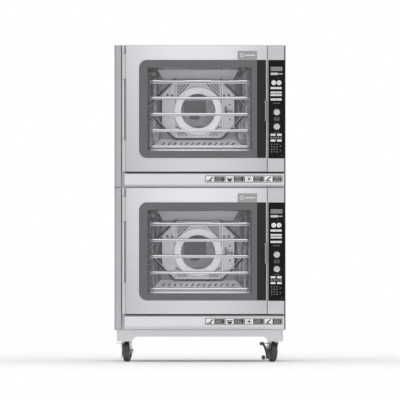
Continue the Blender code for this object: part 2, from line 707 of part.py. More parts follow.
def build_controls(prefix, base):
    """The control column: a housing, the dark panel on its face, two buttons and two knobs."""
    low = (COLUMN_LEFT, FRONT, base + DOOR_BOTTOM)
    high = (COLUMN_RIGHT, CASING_FRONT - GAP, base + DOOR_TOP)
    housing = shell(prefix + "control_housing", low, high, (0, 1, 0), SHEET)
    cut(housing, *spindle_holes(housing.name, base, 0.0006))
    x0, z0, x1, z1 = PANEL
    outline = rectangle(x0, base + z0, x1, base + z1, radii=(0.002,) * 4, steps=2)
    panel = plate(prefix + "control_panel", (outline,), PANEL_FRONT, FRONT - GAP, "XZ", "panel_black")
    cut(panel, *spindle_holes(panel.name, base, 0.0006))

    for name, z in KNOB_HEIGHTS.items():
        face = PANEL_FRONT - 0.0008
        depth = face - KNOB_FRONT
        profile = (
            (0, depth), (KNOB_R - 0.0024, depth), (KNOB_R - 0.0012, depth - 0.0015),
            (KNOB_R, 0), (0.003, 0), (0.003, face - SPINDLE_END), (0, face - SPINDLE_END),
        )
        centre = (KNOB_X, face, base + z)
        knob = turned(prefix + name, profile, centre, (0, -1, 0), "key_white", steps=20)
        hang(knob, pivot(prefix + name + "_axis", centre))

    for name, x in BUTTONS_X.items():
        back = PANEL_FRONT - BUTTON_TRAVEL - 0.0004
        profile = (
            (0, 0.0040), (BUTTON_R - 0.0015, 0.0036), (BUTTON_R, 0.0020),
            (BUTTON_R, 0), (0.005, 0), (0.005, back - SPINDLE_END), (0, back - SPINDLE_END),
        )
        turned(prefix + name, profile, (x, back, base + BUTTON_Z), (0, -1, 0), "key_white", steps=16)


def build_oven(prefix, base):
    build_casing(prefix + "casing", base)
    build_front_frame(prefix + "front_frame", base)
    build_cavity(prefix + "cavity", base)
    build_baffle(prefix + "fan_baffle", base)
    build_fan(prefix + "fan_wheel", base)
    build_motor(prefix + "fan_motor", base)
    build_heater(prefix + "heating_element", base)
    build_ladder(prefix + "rack_ladder_left", base, -1)
    build_ladder(prefix + "rack_ladder_right", base, 1)
    for level in range(RACKS):
        build_rack(f"{prefix}rack_{level + 1}", base, level)
    build_gasket(prefix + "door_gasket", base)
    build_door(prefix, base)
    build_controls(prefix, base)


# ---------------------------------------------------------------- stand and casters
def side_outline(a0, a1):
    """A rail with a leg plate at each end, chamfered at the inner lower corner."""
    top = STAND_TOP - GAP
    inner0, inner1 = a0 + LEG_WIDTH, a1 - LEG_WIDTH
    return (
        (a0, top), (a0, LEG_LOW), (inner0 - LEG_CHAMFER, LEG_LOW), (inner0, LEG_LOW + LEG_CHAMFER),
        (inner0, RAIL_LOW), (inner1, RAIL_LOW), (inner1, LEG_LOW + LEG_CHAMFER),
        (inner1 + LEG_CHAMFER, LEG_LOW), (a1, LEG_LOW), (a1, top),
    )


def build_stand(name):
    """The welded base: four skirted rails, a top flange and a plate for each caster."""
    sheet, flange = 0.0025, 0.045
    top = STAND_TOP - GAP
    outer = rectangle(-STAND_HALF, STAND_FRONT, STAND_HALF, STAND_BACK)
    inner = rectangle(-STAND_HALF + flange, STAND_FRONT + flange, STAND_HALF - flange, STAND_BACK - flange)
    stand = plate(name, (outer, inner), top - sheet, top, "XY")
    across = side_outline(-STAND_HALF, STAND_HALF)
    along = side_outline(STAND_FRONT, STAND_BACK)
    join(
        stand,
        plate(name + "_front", (across,), STAND_FRONT, STAND_FRONT + sheet, "XZ"),
        plate(name + "_back", (across,), STAND_BACK - sheet, STAND_BACK, "XZ"),
        plate(name + "_left", (along,), -STAND_HALF, -STAND_HALF + sheet, "YZ"),
        plate(name + "_right", (along,), STAND_HALF - sheet, STAND_HALF, "YZ"),
    )
    size = LEG_WIDTH + 0.010
    for sign_x in (-1, 1):
        for y0, y1 in ((STAND_FRONT, STAND_FRONT + size), (STAND_BACK - size, STAND_BACK)):
            x0, x1 = sorted((sign_x * (STAND_HALF - 0.001), sign_x * (STAND_HALF - size)))
            corner = block(
                name + "_caster_plate",
                (x0, y0 + 0.001, CASTER_PLATE_LOW),
                (x1, y1 - 0.001, CASTER_PLATE_LOW + 0.005),
            )
            join(stand, corner)
    return stand


def build_caster(place, x, y, turn, braked):
    """A swivel caster, built about its swivel axis with the wheel trailing along its own +Y."""
    swivel = pivot(f"caster_{place}_swivel_axis", (x, y, 0), turn)
    fork_name = f"caster_fork_{place}"
    crown_top, crown_low = CASTER_PLATE_LOW - GAP, 0.112
    inside = WHEEL_WIDTH / 2 + 0.0025
    fork = rod(fork_name, (0, 0, crown_low), (0, 0, crown_top), 0.030, "zinc", sides=18)
    bridge = block(
        fork_name + "_bridge",
        (-inside - FORK_PLATE, -0.014, crown_low - 0.003),
        (inside + FORK_PLATE, 0.030, crown_low + 0.002),
        "zinc",
    )
    joins = [bridge]
    boss = 0.012
    for side in (-1, 1):
        x0, x1 = sorted((side * inside, side * (inside + FORK_PLATE)))
        outline = [(-0.014, crown_low), (-0.014, crown_low - 0.016)]
        outline += arc(CASTER_TRAIL, WHEEL_R, boss, 200, 360, 5)
        outline += [(0.036, crown_low - 0.016), (0.030, crown_low)]
        joins.append(plate(fork_name + "_leg", (outline,), x0, x1, "YZ", "zinc"))
    reach = inside + FORK_PLATE + 0.006
    axle_ends = (-reach, CASTER_TRAIL, WHEEL_R), (reach, CASTER_TRAIL, WHEEL_R)
    joins.append(rod(fork_name + "_axle", *axle_ends, AXLE_R, "zinc", sides=12))
    nut_ends = (reach - 0.005, CASTER_TRAIL, WHEEL_R), (reach + 0.003, CASTER_TRAIL, WHEEL_R)
    joins.append(rod(fork_name + "_nut", *nut_ends, 0.009, "zinc", sides=6))
    attach(join(fork, *joins), swivel)

    axle = pivot(f"caster_{place}_axle_axis", (0, CASTER_TRAIL, WHEEL_R))
    axle.parent = swivel
    corner_r = WHEEL_R / math.cos(math.pi / WHEEL_SIDES)  # so that a flat of the tread meets the floor
    half, bore = WHEEL_WIDTH / 2, AXLE_R + 0.0005
    profile = (
        (bore, half), (corner_r - 0.005, half), (corner_r, half - 0.006),
        (corner_r, 0.006 - half), (corner_r - 0.005, -half), (bore, -half),
    )
    wheel = turned(
        f"caster_wheel_{place}", profile, (0, 0, 0), (1, 0, 0), "tyre_rubber", steps=WHEEL_SIDES, closed=True
    )
    wheel.rotation_euler.rotate_axis("Z", math.pi / WHEEL_SIDES)
    wheel.parent = axle

    if braked:
        build_brake(place, axle, inside + FORK_PLATE)


def build_brake(place, axle, cheek):
    """The brake rocker on the outside of the fork, turning about the axle: a plate with two foot tabs."""
    name = f"brake_pedal_{place}"
    thickness = 0.0025
    x0, x1 = -cheek - 0.0010 - thickness, -cheek - 0.0010
    outline = (
        arc(0, 0, 0.011, -60, 80, 5)
        + [(-0.030, 0.048), (-0.042, 0.048), (-0.040, 0.036), (-0.024, 0.004), (-0.030, -0.018)]
        + [(-0.040, -0.026), (-0.036, -0.034), (-0.022, -0.030)]
    )
    pedal = plate(name, (outline,), x0, x1, "YZ", "zinc")
    upper_reach, lower_reach = BRAKE_REACH[place]
    upper_tab = block(name + "_tab", (x0 - upper_reach, -0.046, 0.0445), (x1, -0.030, 0.0475), "zinc")
    lower_tab = block(name + "_tab", (x0 - lower_reach, -0.041, -0.0335), (x1, -0.026, -0.0300), "zinc")
    hub = rod(name + "_bore", (x0 - 0.01, 0, 0), (x1 + 0.01, 0, 0), AXLE_R + 0.0005, "zinc", sides=12)
    join(pedal, upper_tab, lower_tab)
    attach(cut(pedal, hub), axle)


def build_stand_and_casters():
    build_stand("stand_frame")
    front, rear = STAND_FRONT + CASTER_INSET, STAND_BACK - CASTER_INSET
    turns = {"front_left": -10, "front_right": 16, "rear_left": -10, "rear_right": 16}
    for place, degrees in turns.items():
        x = CASTER_X if place.endswith("right") else -CASTER_X
        y = front if place.startswith("front") else rear
        build_caster(place, x, y, math.radians(degrees), braked=place.startswith("front"))


build_stand_and_casters()
build_oven("lower_", STAND_TOP)
build_oven("upper_", STAND_TOP + OVEN_HEIGHT)
bpy.context.view_layer.update()
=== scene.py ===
import json
import math

import bmesh
import bpy
from mathutils import Matrix, Vector


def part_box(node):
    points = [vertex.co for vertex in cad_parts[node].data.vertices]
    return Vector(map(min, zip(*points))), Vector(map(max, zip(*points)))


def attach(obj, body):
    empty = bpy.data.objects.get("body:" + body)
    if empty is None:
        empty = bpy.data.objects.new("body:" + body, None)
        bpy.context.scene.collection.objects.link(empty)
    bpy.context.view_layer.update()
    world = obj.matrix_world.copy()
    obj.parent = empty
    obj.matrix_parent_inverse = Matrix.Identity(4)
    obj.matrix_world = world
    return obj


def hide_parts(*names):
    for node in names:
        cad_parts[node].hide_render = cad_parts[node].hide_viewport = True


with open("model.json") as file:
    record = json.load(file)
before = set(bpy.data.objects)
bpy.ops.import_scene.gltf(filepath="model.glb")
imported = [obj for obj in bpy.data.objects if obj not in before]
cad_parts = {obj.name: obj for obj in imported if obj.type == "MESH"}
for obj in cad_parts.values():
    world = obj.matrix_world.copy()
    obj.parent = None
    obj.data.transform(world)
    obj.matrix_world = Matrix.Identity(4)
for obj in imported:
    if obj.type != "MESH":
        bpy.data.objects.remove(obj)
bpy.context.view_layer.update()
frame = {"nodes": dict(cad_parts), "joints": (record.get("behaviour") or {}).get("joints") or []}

# ---------------------------------------------------------------- places taken from the frame
OVENS = ("lower_", "upper_")
FIXED = "frame"  # the body that everything fixed rides on
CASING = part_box("lower_casing")
LEFT, RIGHT, PLATE = CASING[0].x, CASING[1].x, CASING[0].y  # casing sides, and the front frame's plate
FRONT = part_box("lower_control_housing")[0].y  # face of the doors, columns and fascias
BASE = {oven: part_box(oven + "casing")[0].z for oven in OVENS}
HEIGHT = CASING[1].z - CASING[0].z
PITCH = BASE["upper_"] - BASE["lower_"]
PIVOT = {joint["name"]: Vector(joint["pos_m"]) for joint in frame["joints"] if "pos_m" in joint}
AXIS = {joint["name"]: Vector(joint["axis"]) for joint in frame["joints"]}
HINGE = PIVOT["lower_door_hinge"]
FAN = {oven: PIVOT[oven + "fan_spin"] for oven in OVENS}
# The casing's pipe stubs are all low, so the upper half shows where its back is.
UPPER_HALF = [v.co for v in frame["nodes"]["lower_casing"].data.vertices if v.co.z > CASING[0].z + HEIGHT / 2]
BACK = max(co.y for co in UPPER_HALF)

# Directions
TO_FRONT, TO_BACK, UP = (0, -1, 0), (0, 1, 0), (0, 0, 1)
BOTH = (-1, 1)  # left and right


# ---------------------------------------------------------------- materials
class Look:
    """A material whose colour, roughness and bump come from procedural nodes."""

    def __init__(self, name):
        self.material = bpy.data.materials.new(name)
        self.material.use_nodes = True
        self.tree = self.material.node_tree
        self.shader = self.tree.nodes["Principled BSDF"]
        self.where = self.node("TexCoord").outputs["Object"]

    def feed(self, socket, value):
        if isinstance(value, bpy.types.NodeSocket):
            self.tree.links.new(value, socket)
        else:
            socket.default_value = value

    def node(self, kind, inputs=None, **settings):
        made = self.tree.nodes.new("ShaderNode" + kind)
        for key, value in settings.items():
            setattr(made, key, value)
        for key, value in (inputs or {}).items():
            self.feed(made.inputs[key], value)
        return made

    def math(self, operation, a, b=0.0):
        return self.node("Math", {0: a, 1: b}, operation=operation).outputs[0]

    def remap(self, value, low, high, to_low=0.0, to_high=1.0):
        inputs = {"Value": value, "From Min": low, "From Max": high, "To Min": to_low, "To Max": to_high}
        return self.node("MapRange", inputs).outputs[0]

    def noise(self, scale, detail=2.0, rough=0.5):
        """Noise from 0 to 1; its scale is one number, or one for each axis."""
        scale = scale if isinstance(scale, (tuple, list)) else (scale,) * 3
        mapped = self.node("Mapping", {"Vector": self.where, "Scale": scale}).outputs[0]
        inputs = {"Vector": mapped, "Scale": 1.0, "Detail": detail, "Roughness": rough}
        return self.node("TexNoise", inputs).outputs["Fac"]

    def vary(self, base, *parts):
        """base plus each (noise, amount), with the noise centred on zero."""
        for noise, amount in parts:
            base = self.math("ADD", base, self.math("MULTIPLY", self.math("SUBTRACT", noise, 0.5), amount))
        return base

    def colour(self, value, tint=(1.0, 1.0, 1.0)):
        """Sets the base colour from a brightness socket and a tint."""
        parts = [self.math("MULTIPLY", value, t) for t in tint]
        return self.set(Base_Color=self.node("CombineColor", dict(enumerate(parts))).outputs[0])

    def set(self, **values):
        for key, value in values.items():
            self.feed(self.shader.inputs[key.replace("_", " ")], value)
        return self

    def bump(self, height, distance, strength=1.0):
        inputs = {"Height": height, "Distance": distance, "Strength": strength}
        self.feed(self.shader.inputs["Normal"], self.node("Bump", inputs).outputs[0])
        return self


def sheen(look):
    """A painted reflection: how much of the studio a door reflects, painted into its colour as a sheen: most
    at the top and middle, less to the sides and below.
    """
    split = look.node("SeparateXYZ", {0: look.where})
    height = look.math("SUBTRACT", split.outputs["Z"], BASE["lower_"])
    share = look.math("DIVIDE", look.math("MODULO", height, PITCH), PITCH)
    rise = look.remap(share, 0.10, 0.97, 0.80, 1.0)
    aside = look.math("POWER", look.math("ABSOLUTE", look.math("ADD", split.outputs["X"], 0.03)), 2.0)
    return look.math("MULTIPLY", rise, look.math("SUBTRACT", 1.0, look.math("MULTIPLY", aside, 1.5)))


def steel(name, base, rough, grain=(3, 3, 900), tint=(0.99, 1.0, 1.02), streaks=0.05, lit=False):
    """Brushed stainless: fine streaks, soft clouding and a few wiped smears."""
    look = Look(name)
    fine = look.noise(grain, detail=4)
    wide = look.noise([scale * 0.22 if scale > 20 else scale for scale in grain], detail=2)
    band = look.noise([scale * 0.05 if scale > 20 else scale * 0.3 for scale in grain], detail=2)
    cloud = look.noise((2.2, 2.2, 3.1), detail=3)
    smear = look.remap(look.noise((6, 6, 14), detail=5, rough=0.6), 0.45, 0.75)
    value = look.vary(base, (fine, streaks), (wide, streaks), (band, streaks), (cloud, 0.05))
    # lit paints the studio's reflection into the colour: a painted sheen, from sheen().
    if lit:
        value = look.math("MULTIPLY", value, sheen(look))
    roughness = look.vary(rough, (fine, 0.10), (cloud, 0.05), (smear, 0.06))
    look.colour(value, tint).set(Metallic=1.0, Roughness=roughness)
    return look.bump(look.vary(0.5, (fine, 0.8), (wide, 0.4)), 0.00004, 0.6).material


def plastic(name, base, rough, tint=(1, 1, 1), grain=900.0, coat=0.0, shine=0.5):
    """Moulded plastic or print: a fine texture with faint dust and wear."""
    look = Look(name)
    fine = look.noise(grain, detail=2)
    dust = look.remap(look.noise(14, detail=5, rough=0.65), 0.5, 0.8)
    look.colour(look.vary(base, (fine, base * 0.06), (dust, base * 0.10 + 0.004)), tint)
    look.set(Roughness=look.vary(rough, (dust, 0.14), (fine, 0.04)))
    look.set(Coat_Weight=coat, Coat_Roughness=0.08, Specular_IOR_Level=shine)
    return look.bump(fine, 0.00003, 0.5).material


def rubber(name):
    """Black rubber, dusty where it is scuffed."""
    look = Look(name)
    fine = look.noise(1200, detail=3)
    scuff = look.remap(look.noise(30, detail=6, rough=0.7), 0.48, 0.72)
    look.colour(look.vary(0.068, (fine, 0.012), (scuff, 0.045)), (1, 1, 1.03))
    look.set(Roughness=look.vary(0.62, (scuff, 0.2)))
    return look.bump(look.vary(0.5, (fine, 0.5), (scuff, 0.5)), 0.00012).material


def glass(name, alpha):
    """A thin pane: a faint clean film over whatever is behind it, with streaks in its gloss."""
    look = Look(name)
    film = look.noise((5, 5, 9), detail=4)
    look.colour(look.vary(0.35, (film, 0.10)), (0.82, 0.82, 0.86))
    look.set(Roughness=look.vary(0.03, (film, 0.03)), IOR=1.5)
    return look.set(Alpha=look.vary(alpha, (film, alpha * 0.3))).material


def heat_steel(name, base, rough, brown=-0.015):
    """Liner steel that heat and steam have clouded."""
    look = Look(name)
    fine = look.noise((500, 500, 8), detail=3)
    stain = look.remap(look.noise((9, 9, 6), detail=6, rough=0.62), 0.35, 0.7)
    cloud = look.noise((3, 3, 4), detail=2)
    value = look.vary(base, (fine, 0.05), (stain, -0.09), (cloud, 0.08))
    look.colour(value, (1.0 + brown, 1.0, 1.0 - brown)).set(Metallic=1.0)
    look.set(Roughness=look.vary(rough, (stain, 0.16), (fine, 0.06)))
    return look.bump(look.vary(0.5, (fine, 0.4), (stain, 0.3)), 0.00005, 0.6).material


def satin(name, base, rough=0.40, metal=0.35, contrast=0.12, grain=(300, 6, 6)):
    """Bead-blasted sheet inside the chamber: part diffuse, with soft streaks and water marks."""
    look = Look(name)
    fine = look.noise(grain, detail=3)
    stain = look.noise((14, 14, 10), detail=6, rough=0.65)
    look.colour(look.vary(base, (fine, contrast * 0.7), (stain, contrast)), (1.0, 1.0, 1.03))
    look.set(Metallic=metal, Roughness=look.vary(rough, (stain, 0.2)))
    return look.bump(look.vary(0.5, (fine, 0.4), (stain, 0.3)), 0.00006, 0.6).material


def mirror_walls(name):
    """Polished side sheets with painted reflections of the racks and the dark door: upright light and dark
    streaks painted into their colour.
    """
    look = Look(name)
    upright = look.remap(look.noise((52, 52, 3.5), detail=3, rough=0.55), 0.36, 0.66)
    broken = look.remap(look.noise((60, 60, 44), detail=4, rough=0.7), 0.35, 0.68)
    mix = look.math("MULTIPLY", upright, look.math("ADD", look.math("MULTIPLY", broken, 0.65), 0.35))
    look.colour(look.remap(mix, 0.0, 1.0, 0.045, 0.62), (1.0, 1.0, 1.05))
    look.set(Metallic=0.35, Roughness=look.remap(mix, 0, 1, 0.5, 0.28))
    return look.bump(broken, 0.0001, 0.5).material


def zinc_plate(name):
    """Bright zinc plating with its spangle, and patches of grime."""
    look = Look(name)
    cells = look.node("TexVoronoi", {"Vector": look.where, "Scale": 160.0}).outputs["Distance"]
    grime = look.remap(look.noise(40, detail=5), 0.45, 0.75)
    look.colour(look.vary(0.60, (cells, 0.10), (grime, -0.18)), (1, 1, 1.02)).set(Metallic=1.0)
    look.set(Roughness=look.vary(0.36, (cells, 0.12), (grime, 0.2)))
    return look.bump(cells, 0.00003).material


def chrome(name, base, rough):
    """Plated wire and bolts under a thin film."""
    look = Look(name)
    film = look.noise(60, detail=4)
    look.colour(look.vary(base, (film, 0.10)), (1.0, 1.0, 1.04)).set(Metallic=1.0)
    look.set(Roughness=look.vary(rough, (film, 0.12)))
    return look.bump(film, 0.00003).material


M = {
    "front": steel("front_steel", 0.84, 0.34),
    # The door's colour carries a painted reflection: a sheen, brightest at the top and middle.
    "door": steel("door_steel", 0.95, 0.34, streaks=0.04, lit=True),
    "column": steel("column_steel", 0.67, 0.36),
    "stile": steel("stile_steel", 0.55, 0.38, grain=(900, 3, 3), tint=(0.98, 1.0, 1.02)),
    "hinge": steel("hinge_steel", 0.72, 0.34, grain=(400, 400, 3)),
    "bevel": satin("bevel_steel", 0.80, metal=0.5, contrast=0.04),
    "casing": steel("casing_steel", 0.60, 0.36),
    "stand": steel("stand_steel", 0.71, 0.38),
    "handle": steel("handle_steel", 0.34, 0.28, grain=(900, 900, 3), streaks=0.03),
    # Painted light: lip and sill are the liner steel made white and wholly diffuse, brightened for the light
    # that falls on the baffle's top and bottom lips.
    "lip": satin("lip_steel", 1.0, 0.42, metal=0.0),
    "sill": satin("sill_steel", 1.0, 0.42, metal=0.0),
    "rear": satin("rear_plate_steel", 0.26, metal=0.3),
    "baffle": satin("baffle_steel", 0.50, 0.36, metal=0.45, grain=(6, 6, 400)),
    "ring": satin("ring_steel", 0.90, metal=0.3, contrast=0.06, grain=(30, 30, 30)),
    "guard": satin("guard_steel", 0.80, metal=0.1, contrast=0.06),
    # Painted shade: the dark plates inside the fan's inlet.
    "inlet_painted_shade": plastic("inlet_painted_shade", 0.105, 0.5, tint=(1, 1, 1.05), shine=0.3),
    "probe_plate": satin("probe_plate_steel", 0.66, metal=0.3, contrast=0.08),
    "tray_lip": satin("tray_lip_steel", 0.42, 0.42),
    # Painted shadow: the dark bar behind the drip tray's lip.
    "tray": heat_steel("tray_shadow_steel", 0.07, 0.5),
    "liner": heat_steel("liner_steel", 0.42, 0.30),
    "side_lip": mirror_walls("side_lip_steel"),
    "fan": heat_steel("fan_steel", 0.10, 0.45),
    "heater": heat_steel("heater_sheath", 0.20, 0.55, brown=0.06),
    "lamp_rim": heat_steel("lamp_rim", 0.10, 0.35),
    "lamp": plastic("lamp_glass", 0.30, 0.18, coat=1.0),
    "mesh": chrome("guard_wire", 0.60, 0.34),
    "wire": chrome("rack_wire", 0.42, 0.30),
    "ladder": chrome("ladder_wire", 0.22, 0.38),
    "screw": chrome("screw_steel", 0.60, 0.30),
    "zinc": zinc_plate("zinc_plate"),
    "motor": plastic("motor_enamel", 0.03, 0.5),
    "window": glass("window_glass", 0.06),
    "border": plastic("glass_print_grey", 0.133, 0.40, tint=(1.0, 1.0, 1.04), grain=300, shine=0.25),
    "strip": plastic("glass_print_black", 0.020, 0.40, grain=300, shine=0.2),
    "badge": plastic("badge_grey", 0.31, 0.4, tint=(1, 1, 1.03)),
    "badge_mark": plastic("badge_mark", 0.75, 0.4),
    "panel": plastic("panel_black", 0.008, 0.36, shine=0.12),
    "display": plastic("display_grey", 0.26, 0.25, coat=0.4),
    "keys": plastic("key_white", 0.70, 0.42),
    "knob": plastic("knob_white", 0.57, 0.36),
    "knob_cap": plastic("knob_cap", 0.47, 0.35),
    "print": plastic("panel_print", 0.20, 0.5),
    "header": plastic("header_print", 0.50, 0.45),
    "key_ink": plastic("key_ink", 0.34, 0.5),
    "label": plastic("label_white", 0.80, 0.45),
    "label_ink": plastic("label_ink", 0.050, 0.5, shine=0.25),
    "seal": rubber("door_seal"),
    # Painted shade: the dark strip between the hinge's knuckles and the door's edge.
    "side_seal": plastic("hinge_side_shade", 0.40, 0.5),
    # Painted shade: dark strips for the shaded edges, the stile's gap and the drip channel.
    "trim": plastic("painted_edge_shade", 0.070, 0.55, shine=0.3),
    "shadow": plastic("shadow_gap", 0.010, 0.8, shine=0.1),
    "dark": plastic("dark_cap", 0.02, 0.6),
    "tyre": rubber("tyre_rubber"),
    "wheel_centre": plastic("wheel_centre", 0.20, 0.5, tint=(1, 1, 1.02)),
    "pedal": plastic("pedal_enamel", 0.05, 0.45),
    "pedal_light": plastic("pedal_white", 0.90, 0.5),
}
SLOTS = {
    "casing_steel": ("casing",),
    "front_steel": ("front", "door", "column", "stile", "hinge", "bevel"),
    "stand_steel": ("stand",),
    "liner_steel": (
        "liner", "lip", "sill", "side_lip", "rear", "baffle", "ring", "inlet_painted_shade", "probe_plate",
        "tray_lip", "tray",
    ),
    "fan_steel": ("fan",),
    "wire_chrome": ("wire", "ladder", "mesh", "guard"),
    "handle_steel": ("handle",),
    "zinc": ("zinc", "pedal", "pedal_light"),
    "heater_alloy": ("heater",),
    "motor_paint": ("motor",),
    "door_glass": ("window", "border", "strip"),
    "panel_black": ("panel",),
    "key_white": ("keys", "knob", "header"),
    "silicone": ("seal",),
    "tyre_rubber": ("tyre", "wheel_centre"),
}
SLOT_OF = {look: slot for slot, looks in SLOTS.items() for look in looks}


# ---------------------------------------------------------------- outlines and paths
def facing(centre, toward):
    """A matrix that puts local Z along toward, at centre."""
    turn = Vector((0, 0, 1)).rotation_difference(Vector(toward)).to_matrix().to_4x4()
    return Matrix.Translation(centre) @ turn


def arc(a, b, radius, start, end, steps):
    angles = [math.radians(start + (end - start) * i / steps) for i in range(steps + 1)]
    return [(a + radius * math.cos(t), b + radius * math.sin(t)) for t in angles]


def circle(a, b, radius, steps=48):
    return arc(a, b, radius, 0, 360, steps)[:-1]


def rectangle(a0, b0, a1, b1, radii=0.0, steps=6):
    """Corners run lower left, lower right, upper right, upper left, each with its own radius."""
    if not isinstance(radii, tuple):
        radii = (radii,) * 4
    corners = ((a0, b0, 1, 1, 180), (a1, b0, -1, 1, 270), (a1, b1, -1, -1, 0), (a0, b1, 1, -1, 90))
    points = []
    for (a, b, inward_a, inward_b, start), radius in zip(corners, radii):
        if radius:
            points += arc(a + inward_a * radius, b + inward_b * radius, radius, start, start + 90, steps)
        else:
            points.append((a, b))
    return points


def around(bounds, grow=0.0, radii=0.0, steps=6):
    """The rectangle of (a0, b0, a1, b1) with every side moved out by grow."""
    a0, b0, a1, b1 = bounds
    return rectangle(a0 - grow, b0 - grow, a1 + grow, b1 + grow, radii, steps)


def centred(a, b, half_a, half_b, radii=0.0):
    return rectangle(a - half_a, b - half_b, a + half_a, b + half_b, radii)


def raised(bounds, base):
    """Bounds measured from an oven's underside, lifted to that oven."""
    a0, b0, a1, b1 = bounds
    return a0, base + b0, a1, base + b1


def seen_from_front(node):
    """The bounds (x0, z0, x1, z1) of a node."""
    low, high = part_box(node)
    return low.x, low.z, high.x, high.z


def slanted(a, b, length, width, angle, steps=3):
    """A slot with round ends, turned by an angle in degrees."""
    turn = Matrix.Rotation(math.radians(angle), 2)
    ends = arc(length / 2 - width / 2, 0, width / 2, -90, 90, steps)
    ends += arc(width / 2 - length / 2, 0, width / 2, 90, 270, steps)
    return [tuple(Vector((a, b)) + turn @ Vector(point)) for point in ends]


def rounded_path(points, radius, closed=False, steps=6):
    """A polyline with its corners replaced by arcs."""
    points = [Vector(point) for point in points]
    count = len(points)
    made = []
    for i, point in enumerate(points):
        if not closed and i in (0, count - 1):
            made.append(point)
            continue
        back, ahead = points[i - 1] - point, points[(i + 1) % count] - point
        reach = min(radius, back.length * 0.49, ahead.length * 0.49)
        start, end = point + back.normalized() * reach, point + ahead.normalized() * reach
        for k in range(steps + 1):
            t = k / steps
            made.append(start * (1 - t) ** 2 + point * 2 * t * (1 - t) + end * t**2)
    return made


def rounded_outline(points, radius, closed=True, steps=3):
    return [(p.x, p.y) for p in rounded_path([(a, b, 0) for a, b in points], radius, closed, steps)]


# ---------------------------------------------------------------- shapes
# Each function here returns another one, which draws the shape on a bmesh.
def group(shapes):
    def draw(bm):
        for shape in shapes:
            shape(bm)
    return draw


def box(low, high, radius=0.0, segments=2):
    """A box with its edges rounded."""
    low, high = Vector(low), Vector(high)

    def draw(bm):
        place = Matrix.Translation((low + high) / 2) @ Matrix.Diagonal((*(high - low), 1))
        made = bmesh.ops.create_cube(bm, size=1, matrix=place)["verts"]
        edges = {edge for vert in made for edge in vert.link_edges}
        bmesh.ops.bevel(bm, geom=list(edges), offset=radius, segments=segments, affect="EDGES", profile=0.5)
    return draw


def join_rings(bm, rings, closed):
    """Faces between rings of vertices; a ring of one vertex is a point on the axis."""
    steps = max(len(ring) for ring in rings)
    pairs = list(zip(rings, rings[1:]))
    if closed:
        pairs.append((rings[-1], rings[0]))
    for first, second in pairs:
        for i in range(steps):
            j = (i + 1) % steps
            around_face = (first, i), (first, j), (second, j), (second, i)
            corners = list(dict.fromkeys(ring[k % len(ring)] for ring, k in around_face))
            if len(corners) > 2:
                bm.faces.new(corners)


def turned(profile, matrix, steps=48, closed=False):
    """A turned shape from (radius, height) points; a point on the axis closes it."""
    def draw(bm):
        rings = []
        for radius, height in profile:
            points = [(a, b, height) for a, b in circle(0, 0, radius, steps)] if radius else [(0, 0, height)]
            rings.append([bm.verts.new(matrix @ Vector(point)) for point in points])
        join_rings(bm, rings, closed)
    return draw


def swept(path, section, closed=False, up=None):
    """A closed 2D section swept along a path; its frame is carried along without twisting."""
    path = [Vector(point) for point in path]
    count = len(path)

    def draw(bm):
        tangents = []
        for i in range(count):
            before = path[i - 1] if (i or closed) else path[i]
            after = path[(i + 1) % count] if (i < count - 1 or closed) else path[i]
            tangents.append((after - before).normalized())
        side = Vector(up) if up else tangents[0].orthogonal()
        rings = []
        for point, tangent in zip(path, tangents):
            side = (side - tangent * side.dot(tangent)).normalized()
            other = tangent.cross(side)
            rings.append([bm.verts.new(point + side * a + other * b) for a, b in section])
        join_rings(bm, rings, closed)
        if not closed:
            bm.faces.new(rings[0][::-1])
            bm.faces.new(rings[-1])
    return draw


def tube(path, radius, sides=10, closed=False):
    return swept(path, circle(0, 0, radius, sides), closed)


PLANES = {
    "XY": (Matrix.Identity(4), Vector((0, 0, 1))),
    "XZ": (Matrix(((1, 0, 0, 0), (0, 0, -1, 0), (0, 1, 0, 0), (0, 0, 0, 1))), Vector((0, 1, 0))),
    "YZ": (Matrix(((0, 0, 1, 0), (1, 0, 0, 0), (0, 1, 0, 0), (0, 0, 0, 1))), Vector((1, 0, 0))),
}


def flat(near, far, *outlines, plane="XZ", edge=0.0004, turn=Matrix.Identity(4)):
    """An outline with holes, thick from near to far along the plane's normal, its edges rounded by edge."""
    def draw(bm):
        curve = bpy.data.curves.new("outline", "CURVE")
        curve.dimensions = "2D"
        curve.fill_mode = "BOTH"
        soft = min(edge, abs(far - near) * 0.45)
        curve.extrude = abs(far - near) / 2 - soft
        curve.bevel_depth = soft
        curve.bevel_resolution = 1
        curve.offset = -soft
        for outline in outlines:
            spline = curve.splines.new("POLY")
            spline.points.add(len(outline) - 1)
            for point, (a, b) in zip(spline.points, outline):
                point.co = (a, b, 0, 1)
            spline.use_cyclic_u = True
        guide = bpy.data.objects.new("outline", curve)
        bpy.context.scene.collection.objects.link(guide)
        graph = bpy.context.evaluated_depsgraph_get()
        mesh = bpy.data.meshes.new_from_object(guide.evaluated_get(graph))
        bpy.data.objects.remove(guide)
        part = bmesh.new()
        part.from_mesh(mesh)
        bmesh.ops.remove_doubles(part, verts=part.verts, dist=0.000005)
        upright, normal = PLANES[plane]
        part.transform(turn @ Matrix.Translation(normal * (near + far) / 2) @ upright)
        part.to_mesh(mesh)
        part.free()
        bm.from_mesh(mesh)
        bpy.data.meshes.remove(mesh)
    return draw


def prints(near, far, outlines):
    """Thin printed marks, one for each outline."""
    return group([flat(near, far, outline, edge=0.0001) for outline in outlines])


def panel(corners, thickness):
    """A flat plate on three or four corner points, thickened away from its normal."""
    corners = [Vector(corner) for corner in corners]

    def draw(bm):
        normal = (corners[1] - corners[0]).cross(corners[-1] - corners[0]).normalized()
        front = [bm.verts.new(corner) for corner in corners]
        back = [bm.verts.new(corner - normal * thickness) for corner in corners]
        bm.faces.new(front)
        bm.faces.new(back[::-1])
        for i in range(len(corners)):
            j = (i + 1) % len(corners)
            bm.faces.new((front[j], front[i], back[i], back[j]))
    return draw


